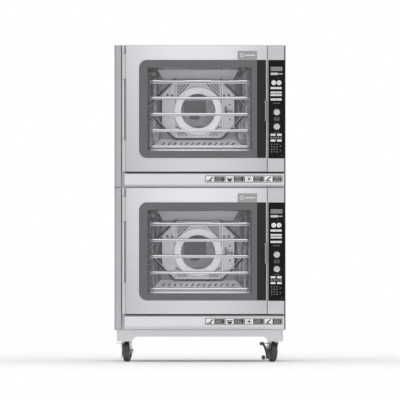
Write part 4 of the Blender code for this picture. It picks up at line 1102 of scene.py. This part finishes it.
def build_inlet(node, fan):
    """The pressed ring round the fan's inlet, the diagonal guard wires, and dark plates behind them that are
    painted shade.
    """
    inner, outer = INLET_R, RING_R
    profile = [(inner, -0.014), (inner, 0.0065), (inner + 0.0012, 0.0084), (inner + 0.0035, 0.0090)]
    profile += [(outer - 0.0035, 0.0090), (outer - 0.0012, 0.0084), (outer, 0.0065), (outer, -0.0004)]
    profile += [(outer - 0.003, -0.0010), (inner + 0.0020, -0.014)]
    ring = turned(profile, facing((fan.x, PLATE_Y, fan.z), TO_FRONT), steps=96, closed=True)
    piece(node + "_inlet_ring", "ring", ring, smooth=50)

    pitch, wire, wires = 0.0118, 0.0028, []
    along, over = Vector((1, 0, -1)).normalized(), Vector((1, 0, 1)).normalized()
    centre = Vector((fan.x, PLATE_Y + 0.004, fan.z))
    count = int(INLET_R / pitch)
    for i in range(-count, count + 1):
        half = math.sqrt((INLET_R + 0.001) ** 2 - (i * pitch) ** 2)
        middle = centre + over * i * pitch
        wires.append(tube([middle - along * half, middle + along * half], wire, sides=8))
    for offset in (-0.045, 0.0, 0.045):
        half = math.sqrt(INLET_R**2 - offset**2)
        middle = centre + along * offset + Vector((0, 0.0026, 0))
        wires.append(tube([middle - over * half, middle + over * half], 0.0014, sides=8))
    piece(node + "_inlet_guard", "guard", *wires)

    # Painted shade: dark plates behind the guard for the dark patches in the inlet and the bands across its
    # top and foot.
    reach = INLET_R - 0.0008
    hub = rectangle(fan.x - 0.0765, fan.z - 0.0100, fan.x + 0.0425, fan.z + 0.0530, 0.003)
    tongue = rectangle(fan.x - 0.0450, fan.z - 0.0450, fan.x + 0.0080, fan.z - 0.0120, 0.004)
    crown, foot = arc(fan.x, fan.z, reach, 58, 126, 16), arc(fan.x, fan.z, reach, 245, 295, 12)
    near, far = PLATE_Y - 0.0006, PLATE_Y + 0.0012
    plates = [flat(near, far, outline, edge=0.0005) for outline in (hub, tongue, crown, foot)]
    piece(node + "_inlet_shade_plates", "inlet_painted_shade", *plates)


def build_probe(oven, fan):
    """The probe's plate on the right wing, with painted shade in its two holes, and its clip and stem."""
    x, y, z = fan.x, PLATE_Y - 0.0012, fan.z
    holder = rectangle(x + 0.1365, z - 0.090, x + 0.1935, z + 0.062, 0.005)
    piece(oven + "probe_plate", "probe_plate", flat(y - 0.0010, y + 0.0008, holder))
    spots = [(x + 0.170, y - 0.001, z + dz) for dz in (0.034, -0.045)]
    # Painted shade: dark discs, shaped as screw heads, for the plate's two holes.
    screw_heads(oven + "probe_hole_shade", spots, TO_FRONT, radius=0.0045, look="shadow")
    post = box((x + 0.141, y - 0.012, z - 0.024), (x + 0.152, y - 0.001, z + 0.026), 0.0015)
    clip = box((x + 0.150, y - 0.006, z - 0.006), (x + 0.186, y - 0.001, z + 0.001), 0.0012)
    piece(oven + "probe_bracket", "fan", post, clip, slot="")
    stem = [(x + 0.146, y - 0.010, z + 0.022), (x + 0.184, y - 0.012, z - 0.016)]
    stem.append((x + 0.186, y - 0.001, z - 0.022))
    cross = [(x + 0.150, y - 0.009, z - 0.018), (x + 0.184, y - 0.009, z + 0.016)]
    shapes = tube(rounded_path(stem, 0.006), 0.0034, sides=12), tube(cross, 0.0016, sides=8)
    piece(oven + "core_probe_stem", "wire", *shapes)


def build_fan(oven):
    """The fan wheel: a back plate, curved blades and a front band, spinning with its shaft."""
    node, body, front = oven + "fan_wheel", oven + "fan", facing(FAN[oven], TO_FRONT)
    disc = [(0, 0.040), (0.010, 0.040), (0.016, 0.036), (0.018, 0.030), (0.020, 0.004), (0.026, 0.0022)]
    disc += [(0.102, 0.0022), (0.1035, 0.0010), (0.102, 0), (0.008, 0), (0.008, -0.108), (0, -0.108)]
    band = [(0.094, 0.0420), (0.1030, 0.0405), (0.1035, 0.0390), (0.0945, 0.0402)]
    shapes = turned(disc, front, steps=64), turned(band, front, steps=64, closed=True)
    piece(node + "_disc", "fan", *shapes, body=body, node=node)
    count, half = 24, 0.0006
    line = [(0.074 + 0.0275 * k / 6, 0.009 * math.sin(k / 6 * 1.4)) for k in range(7)]
    outline = [(a, b - half) for a, b in line] + [(a, b + half) for a, b in reversed(line)]
    turns = [front @ Matrix.Rotation(2 * math.pi * i / count, 4, "Z") for i in range(count)]
    blades = [flat(0.0016, 0.0405, outline, plane="XY", edge=0.0002, turn=turn) for turn in turns]
    piece(node + "_blades", "fan", *blades, body=body)
    nut = [(0, 0.0430), (0.0075, 0.0430), (0.0085, 0.0422), (0.0085, 0.0395), (0, 0.0395)]
    piece(node + "_nut", "screw", turned(nut, front, steps=6), body=body)


def build_heater_and_motor(oven):
    """The heater coil, smooth and round, with its leads; and the motor's cooling fins."""
    node, fan = oven + "heating_element", FAN[oven]
    radius, lead, front_y, rear_y, end_y = 0.130, 0.022, 0.176, 0.206, 0.2485
    turns, per_turn = 2.5, 48
    steps = int(turns * per_turn)
    coil = []
    for i in range(steps + 1):
        t = 2 * math.pi * i / per_turn
        y = front_y + (rear_y - front_y) * i / steps
        coil.append(Vector((fan.x + radius * math.cos(t), y, fan.z + radius * math.sin(t))))
    lead_x = fan.x + radius + lead
    path = [(lead_x, end_y, fan.z), (lead_x, front_y + 0.002, fan.z), coil[0] + Vector((0, 0.001, 0))]
    path = rounded_path(path, 0.008) + coil + [(coil[-1].x, end_y, fan.z)]
    piece(node + "_tube", "heater", tube(path, 0.004, sides=14), node=node)
    dress(oven + "fan_motor", "motor")
    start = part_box(oven + "fan_motor")[0].y + 0.024
    fin = [(0.050, 0), (0.062, 0), (0.062, 0.0018), (0.050, 0.0018)]
    places = [facing((fan.x, start + 0.0085 * i, fan.z), TO_BACK) for i in range(9)]
    piece(oven + "motor_fins", "motor", *[turned(fin, place, steps=64, closed=True) for place in places])


# ---------------------------------------------------------------- racks and seal
RACKS, RACK_PITCH, FIRST_RACK = 5, 0.0864, 0.2189
RACK_HALF, RACK_FRONT, RACK_REAR = 0.272, -0.340, 0.085


def build_ladders(oven):
    """Wire rack ladders: two uprights a side, and a ledge wire, a stub and a hooked end for every rack."""
    base = BASE[oven]
    low, high = base + FLOOR + 0.004, base + ROOF - 0.045
    levels = [base + FIRST_RACK + RACK_PITCH * i for i in range(RACKS)]
    for side, label in ((-1, "left"), (1, "right")):
        node, foot, upright, ledge = f"{oven}rack_ladder_{label}", side * 0.2965, side * 0.2700, side * 0.2665
        wires, stubs, hooks = [], [], []
        for y in (RACK_FRONT - 0.010, RACK_REAR + 0.004):
            path = [(foot, y, low), (upright, y, low + 0.008), (upright, y, high), (foot, y, high + 0.012)]
            wires.append(tube(rounded_path(path, 0.008), 0.0034, sides=12))
        for z in levels:
            path = [(upright, RACK_FRONT - 0.010, z + 0.0130), (ledge, RACK_FRONT - 0.008, z - 0.0060)]
            path += [(ledge, RACK_REAR, z - 0.0060), (upright, RACK_REAR + 0.004, z + 0.0070)]
            wires.append(tube(rounded_path(path, 0.006), 0.0026, sides=10))
            stub = [(0, 0.004), (0.0032, 0.0034), (0.0044, 0.001), (0.0044, -0.010), (0, -0.010)]
            spot = (upright, RACK_FRONT - 0.0145, z + RACK_PITCH * 0.46)
            stubs.append(turned(stub, facing(spot, TO_FRONT), steps=20))
            near = RACK_FRONT - 0.016
            hook = [(upright, near, z + 0.003), (upright - side * 0.010, near, z - 0.004)]
            hook += [(upright - side * 0.009, near, z - 0.015), (upright, near, z - 0.019)]
            hooks.append(tube(rounded_path(hook, 0.006), 0.0020, sides=10))
        piece(node + "_wires", "ladder", *wires, node=node)
        piece(node + "_end_stubs", "wire", *stubs)
        piece(node + "_rack_hooks", "mesh", *hooks)


def build_rack(oven, level):
    """A chromed wire shelf: a bent rim, a second front wire, and cross wires running front to back."""
    node = f"{oven}rack_{level + 1}"
    z = BASE[oven] + FIRST_RACK + RACK_PITCH * level
    rim, top_rack = 0.0036, level == RACKS - 1
    half, front, rear = RACK_HALF - rim, RACK_FRONT + rim, RACK_REAR - rim
    high, sag = z + 0.0012, 0.0012 * (1 + level % 2)
    path = [(-half, front, z - 0.004), (-half + 0.012, front, high), (-0.080, front, high - sag)]
    path += [(0.110, front, high - sag), (half - 0.016, front, high), (half, front, z - 0.004)]
    path += [(half, rear, z), (-half, rear, z)]
    drop, reach = (0.0105, half) if top_rack else (0.0080, half - 0.004)
    second = [(-reach, front + 0.010, z - drop), (reach, front + 0.010, z - drop)]
    rim_path = rounded_path(path, 0.0050, closed=True)
    shapes = [tube(rim_path, rim, sides=14, closed=True), tube(second, 0.0024, sides=12)]
    bars = 26
    for i in range(bars):
        x = -half + 2 * half * (i + 1) / (bars + 1)
        shapes.append(tube([(x, front + 0.002, z - 0.0044), (x, rear - 0.002, z - 0.0044)], 0.0015, sides=8))
    for y in (-0.20, -0.06):
        shapes.append(tube([(-half, y, z - 0.0074), (half, y, z - 0.0074)], 0.0021, sides=10))
    if top_rack:
        y, bar_z = front - 0.004, z + 0.002
        for start, end in ((-half + 0.002, -0.214), (-0.078, 0.058), (0.206, half - 0.002)):
            shapes.append(tube([(start, y, bar_z), (end, y, bar_z)], 0.0040, sides=12))
    piece(node + "_wires", "wire", *shapes, node=node)


def build_gasket(oven):
    """The door seal: a soft bead with a lip, in a ring round the cavity's mouth."""
    node = oven + "door_gasket"
    low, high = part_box(node)
    y, inset = (low.y + high.y) / 2, 0.010
    x0, z0, x1, z1 = low.x + inset, low.z + inset, high.x - inset, high.z - inset
    path = rounded_path([(x0, y, z0), (x1, y, z0), (x1, y, z1), (x0, y, z1)], 0.026, closed=True, steps=10)
    section = [(0.0095, -0.0036), (0.0095, 0.0036), (0.004, 0.0038), (-0.002, 0.0025), (-0.006, 0.0034)]
    section += [(-0.0095, 0.0020), (-0.0095, -0.0008), (-0.006, 0.0010), (-0.002, -0.0030), (0.004, -0.0038)]
    piece(node + "_profile", "seal", swept(path, section, closed=True, up=UP), node=node, smooth=60)


# ---------------------------------------------------------------- door
WINDOW = (-0.2777, 0.1945, 0.2735, 0.6350)
DOOR_LEFT = HINGE.x + 0.0143
STRIP_LEFT = 0.3026  # left edge of the dark strip beside the handle
GLASS_THICK, GLASS_CORNER = 0.0057, 0.042
BADGE = (0.1993, 0.6772, 0.3026, 0.7240)
SKIN_BACK = FRONT + 0.0068  # rear of the door's front skin, which holds the pane
GRIP_LOW, GRIP_HIGH = 0.351, 0.461  # ends of the handle, from an oven's underside


def build_door(oven):
    """The door's face, tray and inner skin round its window, its inner pane and its half of the hinge."""
    node, body, base = oven + "door_frame", oven + "door", BASE[oven]
    low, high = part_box(node)
    door = (DOOR_LEFT, low.z, high.x, high.z)
    window, back = raised(WINDOW, base), high.y
    corners = (GLASS_CORNER, 0.003, 0.003, GLASS_CORNER)
    rebate = around(seen_from_front(oven + "door_glass"), 0.0008, corners, 14)
    face = flat(FRONT, SKIN_BACK, around(door, 0, 0.0032), rebate, edge=0.0014)
    piece(node + "_face", "door", face, body=body, node=node, smooth=50)
    # Each sheet behind the face: its inset from the door, the window's margin, both radii, depths and edge.
    sheets = (
        ("_tray", "front", -0.0006, 0.0040, 0.0026, 0.012, SKIN_BACK - 0.0004, back - 0.0016, 0.0004),
        ("_inner_skin", "liner", -0.0035, 0.0060, 0.006, 0.016, back - 0.0022, back, 0.0008),
    )
    for label, look, inset, margin, radius, window_radius, near, far, edge in sheets:
        outline, opening = around(door, inset, radius), around(window, margin, window_radius)
        piece(node + label, look, flat(near, far, outline, opening, edge=edge), body=body)
    rims = around(window, 0.0055, 0.015), around(window, 0.0008, 0.004)
    trim = flat(back - 0.0050, back - 0.0008, *rims, edge=0.0012)
    piece(node + "_window_trim", "seal", trim, body=body)
    pane = flat(back - 0.0095, back - 0.0055, around(window, 0.003, 0.010))
    piece(oven + "door_inner_pane", "window", pane, body=body)
    spots = [(x, back, base + z) for x in (-0.36, 0.0, 0.33) for z in (0.115, 0.72)]
    screw_heads(oven + "inner_skin_screws", spots, TO_BACK, body=body)

    knuckles, hinge_shades = [], []
    for start, end in DOOR_KNUCKLES:
        z0, z1 = base + start, base + end
        leaf_low = (HINGE.x + 0.0046, HINGE.y - 0.0045, z0 + 0.0003)
        leaf_high = (DOOR_LEFT + 0.001, HINGE.y + 0.0045, z1 - 0.0003)
        knuckles += [knuckle(z0, z1, PIN_R + 0.0006), box(leaf_low, leaf_high, 0.0008)]
        # A dark strip painted as the shade in the recess between the knuckles and the door's edge.
        shade_low = (HINGE.x + KNUCKLE_R + 0.0008, HINGE.y - 0.0056, z0 + 0.001)
        hinge_shades.append(box(shade_low, (DOOR_LEFT - 0.0008, HINGE.y + 0.0056, z1 - 0.001), 0.0005))
    piece(oven + "door_hinge_knuckles", "hinge", *knuckles, body=body)
    piece(oven + "hinge_side_shade", "side_seal", *hinge_shades, body=body)


def build_door_glass(oven):
    """The outer pane: a clear window inside a grey printed border, and a dark strip by the handle."""
    node, body = oven + "door_glass", oven + "door"
    window, near = raised(WINDOW, BASE[oven]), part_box(node)[0].y
    far = near + GLASS_THICK
    x0, z0, x1, z1 = seen_from_front(node)
    border = rectangle(x0, z0, STRIP_LEFT, z1, (GLASS_CORNER, 0, 0, GLASS_CORNER), 16)
    border = flat(near, far, border, around(window, 0, 0.0035), edge=0.0006)
    piece(node + "_border", "border", border, body=body, node=node)
    clear = flat(near + 0.0004, near + 0.0036, around(window, -0.0002, 0.0034), edge=0.0002)
    piece(node + "_window", "window", clear, body=body)
    pin = PIVOT[oven + "handle_pivot"]
    notch = rectangle(pin.x - 0.0060, pin.z - 0.0052, pin.x + 0.0042, pin.z + 0.0096, 0.001)
    strip = rectangle(STRIP_LEFT + 0.0002, z0, x1, z1, (0, 0.002, 0.002, 0))
    piece(node + "_strip", "strip", flat(near, far, strip, notch, edge=0.0006), body=body)


def build_badge(oven):
    """A blank badge above the pane: a plain ring and a bar."""
    body = oven + "door"
    x0, z0, x1, z1 = raised(BADGE, BASE[oven])
    plate = flat(FRONT - 0.0010, FRONT + 0.0010, rectangle(x0, z0, x1, z1, 0.0012))
    piece(oven + "badge_plate", "badge", plate, body=body)
    near, far, mid, ring_x = FRONT - 0.0014, FRONT - 0.0008, (z0 + z1) / 2, x0 + 0.0225
    ring = flat(near, far, circle(ring_x, mid, 0.0105), circle(ring_x, mid, 0.0070), edge=0.0001)
    bar = rectangle(x0 + 0.040, mid - 0.0022, x1 - 0.010, mid + 0.0026, 0.0018)
    piece(oven + "badge_mark", "badge_mark", ring, prints(near, far, [bar]), body=body)


def build_handle(oven):
    """The flap lever: a rounded grip, a lug, the pivot barrel and the latch arm; and the pin in the door."""
    node, body, pin = oven + "door_handle", oven + "handle", PIVOT[oven + "handle_pivot"]
    front, low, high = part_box(node)[0].y, BASE[oven] + GRIP_LOW, BASE[oven] + GRIP_HIGH
    axis, rear = facing(pin, (1, 0, 0)), front + 0.010
    barrel = [(0.0024, -0.005), (0.0046, -0.005), (0.0050, -0.0046)]
    barrel += [(0.0050, 0.0026), (0.0046, 0.0030), (0.0024, 0.0030)]
    shapes = (
        box((pin.x - 0.0043, front, low), (pin.x + 0.0065, rear, high), 0.0028, 4),
        box((pin.x - 0.0050, rear - 0.001, pin.z - 0.004), (pin.x + 0.0030, pin.y, pin.z + 0.004), 0.0010),
        turned(barrel, axis, steps=32, closed=True),
        box((pin.x - 0.0040, pin.y - 0.001, pin.z), (pin.x + 0.0020, pin.y + 0.0045, pin.z + 0.028), 0.0008),
    )
    piece(node + "_lever", "handle", *shapes, body=body, node=node, smooth=50)
    shaft = [(0, -0.008), (0.0018, -0.008), (0.0020, -0.0076), (0.0020, 0.0060), (0, 0.0060)]
    piece(oven + "handle_pin", "screw", turned(shaft, axis, steps=20), body=oven + "door")


# ---------------------------------------------------------------- controls
KNOBS, BUTTONS = ("knob_time", "knob_temperature"), ("button_start", "button_stop")
KEYS_LEFT, KEYS_MID, KEYS_RIGHT = 0.3742, 0.4036, 0.4330
WIDE_KEYS = ((0.5268, 0.0056), (0.5035, 0.0049), (0.4897, 0.0049), (0.4664, 0.0056))  # height and half size
SMALL_KEYS = (0.2793, 0.2486)


def middle(node):
    low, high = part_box(node)
    return (low + high) / 2


def build_controls(oven):
    """The steel column, its dark panel, and everything printed or mounted on the panel."""
    refine(oven + "control_housing_cover", oven + "control_housing", "column", width=0.0012)
    low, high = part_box(oven + "control_panel")
    centres = [PIVOT[f"{oven}{name}_turn"] for name in KNOBS]
    holes = [circle(centre.x, centre.z, 0.0042, 20) for centre in centres]
    holes += [circle(centre.x, centre.z, 0.0062, 20) for centre in (middle(oven + name) for name in BUTTONS)]
    plate = flat(low.y, high.y, rectangle(low.x + 0.0020, low.z, high.x, high.z, 0.0025), *holes)
    piece(oven + "control_panel_plate", "panel", plate, node=oven + "control_panel")
    build_keys(oven, low.y)
    build_panel_print(oven, low.y)
    for name in KNOBS:
        build_knob(oven + name)
    for name in BUTTONS:
        build_button(oven + name)


def build_keys(oven, face):
    """The display with its blank figures, and the bar keys."""
    base = BASE[oven]
    display = rectangle(KEYS_LEFT, base + 0.6175, 0.4365, base + 0.6395, 0.0015)
    piece(oven + "display_window", "display", flat(face - 0.0010, face + 0.0004, display))
    digits = [bar for i in range(4) for bar in blank_digit(KEYS_LEFT + 0.0080 + 0.0148 * i, base + 0.6285)]
    piece(oven + "display_digits", "dark", prints(face - 0.0012, face - 0.0008, digits))
    rows = [(z, half, KEYS_MID - 0.0006, KEYS_MID + 0.0006) for z, half in WIDE_KEYS]
    rows += [(z, 0.0056, 0.4000, 0.4084) for z in SMALL_KEYS]
    keys = []
    for z, half, gap_left, gap_right in rows:
        for x0, x1 in ((KEYS_LEFT, gap_left), (gap_right, KEYS_RIGHT)):
            key_low, key_high = (x0, face - 0.0016, base + z - half), (x1, face + 0.0004, base + z + half)
            keys.append(box(key_low, key_high, 0.0007))
    piece(oven + "bar_keys", "keys", *keys)


def blank_digit(x, z):
    """A seven-bar figure with all its bars shown, as on a display under test."""
    half_wide, half_tall, half_bar = 0.0036, 0.0065, 0.00065
    across = [centred(x, z + level * (half_tall - half_bar), half_wide, half_bar) for level in (-1, 0, 1)]
    return across + [centred(x + side * (half_wide - half_bar), z, half_bar, half_tall) for side in BOTH]


def build_panel_print(oven, face):
    """Plain generic marks, standing a little proud of the panel."""
    base, near, far = BASE[oven], face - 0.0006, face + 0.0003
    header = [rectangle(KEYS_LEFT, base + 0.5960, 0.4140, base + 0.6085, 0.002)]
    header.append(rectangle(0.4165, base + 0.5995, 0.4370, base + 0.6050, 0.001))
    piece(oven + "header_bar", "header", prints(near, far, header))
    marks = [circle(0.4139, base + 0.5819, 0.0018, 16)]
    for i in range(4):
        marks.append(rectangle(0.3880 + 0.0094 * i, base + 0.4450, 0.3952 + 0.0094 * i, base + 0.4485))
    for name in KNOBS:
        marks += dial_marks(PIVOT[f"{oven}{name}_turn"], name == "knob_time")
    for i in range(5):
        x = KEYS_LEFT + 0.0125 * i
        marks.append(rectangle(x, base + 0.2600, x + 0.0088, base + 0.2680))
    marks += programme_marks(base)
    piece(oven + "panel_marks", "print", prints(near, far, marks))
    centres = ((KEYS_LEFT + KEYS_MID) / 2, (KEYS_MID + KEYS_RIGHT) / 2)
    marks = [centred(x, base + z, 0.0040, 0.0010) for x in centres for z, _ in WIDE_KEYS]
    piece(oven + "key_marks", "key_ink", prints(face - 0.0019, face - 0.0012, marks))


def dial_marks(centre, wedge):
    """Ticks round a knob, and one pair of bars under it or a whole wedge of them."""
    marks = []
    for i in range(11):
        angle = 225 - 27 * i
        a, b = arc(centre.x, centre.z, 0.0215, angle, angle, 1)[0]
        marks.append(slanted(a, b, 0.0036, 0.0010, angle))
    rows = [(0.0290, 0.030)]
    if wedge:
        rows = [(0.0280, 0.034), (0.0330, 0.026), (0.0380, 0.036), (0.0430, 0.030)]
    for down, wide in rows:
        for side in BOTH:
            x = centre.x + side * wide / 4
            marks.append(slanted(x, centre.z - down, wide / 2 - 0.003, 0.0024, side * 12))
    return marks


def programme_marks(base):
    """The block of small programme signs at the panel's foot."""
    marks = []
    for row in range(4):
        for column in range(3):
            x, z = 0.3800 + 0.0145 * column, base + 0.2290 - 0.0135 * row
            bar, block = slanted(x, z, 0.0100, 0.0028, 35), centred(x, z, 0.004, 0.0025)
            marks.append((circle(x, z, 0.0034, 14), bar, block)[(row + column) % 3])
    for z in (base + 0.2226, base + 0.1977):
        marks += [slanted(0.4262, z, 0.0090, 0.0030, 0), slanted(0.4262, z - 0.005, 0.0060, 0.0020, 0)]
    return marks + [circle(0.4325, base + 0.1675, 0.0020, 14)]


def build_knob(node):
    """A turned knob with a fluted skirt, a bright cap and a pointer line."""
    centre = PIVOT[node + "_turn"]
    low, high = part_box(node)
    front, depth, radius = facing(centre, TO_FRONT), centre.y - low.y, (high.x - low.x) / 2
    flutes, ripple, root = 24, 0.0004, centre.y - high.y
    profile = [(0, depth - 0.0010), (0.0080, depth - 0.0008), (radius - 0.0052, depth - 0.0004)]
    profile += [(radius - 0.0038, depth), (radius - 0.0026, depth - 0.0003)]
    profile += [(radius - 0.0018, depth - 0.0018), (radius - 0.0004, 0.0022), (radius, 0.0008)]
    profile += [(radius - 0.0006, 0), (0.003, 0), (0.003, root), (0, root)]

    def fluted(bm):
        turned(profile, Matrix.Identity(4), steps=4 * flutes)(bm)
        for vert in bm.verts:
            x, y, z = vert.co
            reach = math.hypot(x, y)
            if reach > radius - 0.0022 and 0.0009 < z < depth - 0.0010:
                scale = 1 + ripple * (math.cos(flutes * math.atan2(y, x)) - 1) / reach
                vert.co = (x * scale, y * scale, z)

    piece(node + "_grip", "knob", fluted, body=node, node=node, smooth=40, place=front)
    top, low_edge = depth + 0.0002, depth - 0.0016
    cap = [(0, top), (0.0062, top), (0.0070, depth - 0.0004), (0.0070, low_edge), (0, low_edge)]
    piece(node + "_cap", "knob_cap", turned(cap, front), body=node)
    line_low = (centre.x - 0.0007, low.y - 0.0001, centre.z + 0.0078)
    line_high = (centre.x + 0.0007, low.y + 0.0016, centre.z + radius - 0.0036)
    piece(node + "_pointer", "dark", box(line_low, line_high, 0.0003, 1), body=node)


def build_button(node):
    """A round push button with a dished face and a plain sign: a bar to start, a ring to stop."""
    low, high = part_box(node)
    centre, radius, root = middle(node), (high.x - low.x) / 2, low.y + 0.0040
    profile = [(0, 0.0034), (0.0060, 0.0036), (radius - 0.0022, 0.0040), (radius - 0.0010, 0.0037)]
    profile += [(radius - 0.0002, 0.0026), (radius, 0.0018), (radius, 0.0004), (radius - 0.0006, 0)]
    profile += [(0.005, 0), (0.005, root - high.y), (0, root - high.y)]
    cap = turned(profile, facing((centre.x, root, centre.z), TO_FRONT), steps=64)
    piece(node + "_cap", "keys", cap, body=node, node=node, smooth=40)
    outlines = [circle(centre.x, centre.z, 0.0032, 24), circle(centre.x, centre.z, 0.0022, 24)]
    if node.endswith("start"):
        outlines = [centred(centre.x, centre.z, 0.0006, 0.0030)]
    piece(node + "_sign", "print", flat(low.y - 0.0001, low.y + 0.0008, *outlines, edge=0.0001), body=node)


# ---------------------------------------------------------------- floor, light and camera
CHAMBER_POWER = 1.58
AIM = (0, 0, 0.85)  # what the softboxes point at
CAMERA_DISTANCE, CAMERA_ACROSS, CAMERA_HEIGHT = 60.0, 2.12, 0.8586  # ACROSS is the width it sees


def build_floor():
    """A pale floor that fades into the pale background a few metres out."""
    bm = bmesh.new()
    bmesh.ops.create_circle(bm, cap_ends=True, radius=6.0, segments=96)
    mesh = bpy.data.meshes.new("floor")
    bm.to_mesh(mesh)
    bm.free()
    look = Look("floor_paper")
    fine, cloud = look.noise(40, detail=4), look.noise(0.6, detail=2)
    look.colour(look.vary(0.90, (fine, 0.01), (cloud, 0.02))).set(Roughness=0.9, Specular_IOR_Level=0.2)
    reach = look.node("VectorMath", {0: look.where}, operation="LENGTH").outputs["Value"]
    look.set(Alpha=look.remap(reach, 1.2, 4.0, 1.0, 0.0)).bump(fine, 0.0002)
    mesh.materials.append(look.material)
    floor = bpy.data.objects.new("studio_floor", mesh)
    bpy.context.scene.collection.objects.link(floor)


def build_world():
    """White for the camera; for reflections, bright above and a little dimmer low down."""
    world = bpy.data.worlds.new("studio")
    world.use_nodes = True
    nodes, links = world.node_tree.nodes, world.node_tree.links
    nodes.clear()
    place, split = nodes.new("ShaderNodeTexCoord"), nodes.new("ShaderNodeSeparateXYZ")
    links.new(place.outputs["Generated"], split.inputs[0])
    lift, ramp = nodes.new("ShaderNodeMapRange"), nodes.new("ShaderNodeValToRGB")
    lift.inputs["From Min"].default_value = -1
    links.new(split.outputs["Z"], lift.inputs["Value"])
    links.new(lift.outputs[0], ramp.inputs[0])
    stops = ((0.0, 0.85), (0.46, 1.00), (0.52, 1.06), (0.70, 1.12), (1.0, 1.15))
    while len(ramp.color_ramp.elements) < len(stops):
        ramp.color_ramp.elements.new(0.5)
    for element, (position, value) in zip(ramp.color_ramp.elements, stops):
        element.position = position
        element.color = (value, value, value * 1.01, 1)
    light, paper = nodes.new("ShaderNodeBackground"), nodes.new("ShaderNodeBackground")
    light.inputs["Strength"].default_value = 0.80
    links.new(ramp.outputs[0], light.inputs["Color"])
    paper.inputs["Color"].default_value = (1.0, 1.0, 1.0, 1)
    path, blend, out = (nodes.new("ShaderNode" + kind) for kind in ("LightPath", "MixShader", "OutputWorld"))
    links.new(path.outputs["Is Camera Ray"], blend.inputs[0])
    links.new(light.outputs[0], blend.inputs[1])
    links.new(paper.outputs[0], blend.inputs[2])
    links.new(blend.outputs[0], out.inputs["Surface"])
    bpy.context.scene.world = world


def area_light(name, place, target, size, power, mirrored=False):
    data = bpy.data.lights.new(name, "AREA")
    data.shape = "RECTANGLE"
    data.size, data.size_y = size
    data.energy = power
    light = bpy.data.objects.new(name, data)
    light.location = place
    light.visible_camera = False
    light.visible_glossy = mirrored
    light.rotation_euler = (Vector(target) - Vector(place)).to_track_quat("-Z", "Y").to_euler()
    bpy.context.scene.collection.objects.link(light)


def build_lights():
    """Four softboxes that don't show in reflections, and a glow inside each door that does."""
    area_light("key_softbox", (-1.5, -9.0, 4.5), AIM, (5.0, 3.5), 150)
    area_light("fill_softbox", (6.0, -8.0, 2.5), AIM, (3.0, 4.0), 50)
    area_light("left_softbox", (-7.0, -4.0, 2.5), AIM, (3.0, 4.0), 50)
    area_light("back_softbox", (2.0, 9.0, 5.0), AIM, (4.0, 4.0), 110)
    for oven in OVENS:
        z = FAN[oven].z - 0.025
        place, target = (0, -0.350, z), (0, 0.2, z)
        area_light(oven + "chamber_glow", place, target, (0.50, 0.42), CHAMBER_POWER, mirrored=True)


def build_camera():
    """Straight on and far away, so that both ovens look alike."""
    data = bpy.data.cameras.new("camera")
    data.sensor_width = 36
    data.lens = data.sensor_width * CAMERA_DISTANCE / CAMERA_ACROSS
    data.clip_start, data.clip_end = 1.0, 200.0
    camera = bpy.data.objects.new("camera", data)
    camera.location = (0, FRONT - CAMERA_DISTANCE, CAMERA_HEIGHT)
    camera.rotation_euler = (math.radians(90), 0, 0)
    bpy.context.scene.collection.objects.link(camera)
    bpy.context.scene.camera = camera
    bpy.context.scene.view_settings.view_transform = "Standard"


for oven in OVENS:
    build_casing(oven)
    build_front_frame(oven)
    build_cavity(oven)
    build_baffle(oven)
    build_fan(oven)
    build_heater_and_motor(oven)
    build_ladders(oven)
    for level in range(RACKS):
        build_rack(oven, level)
    build_gasket(oven)
    build_door(oven)
    build_door_glass(oven)
    build_badge(oven)
    build_handle(oven)
    build_controls(oven)
build_top_cover()
build_stand()
for place in CASTERS:
    build_caster(place)
build_floor()
build_world()
build_lights()
build_camera()
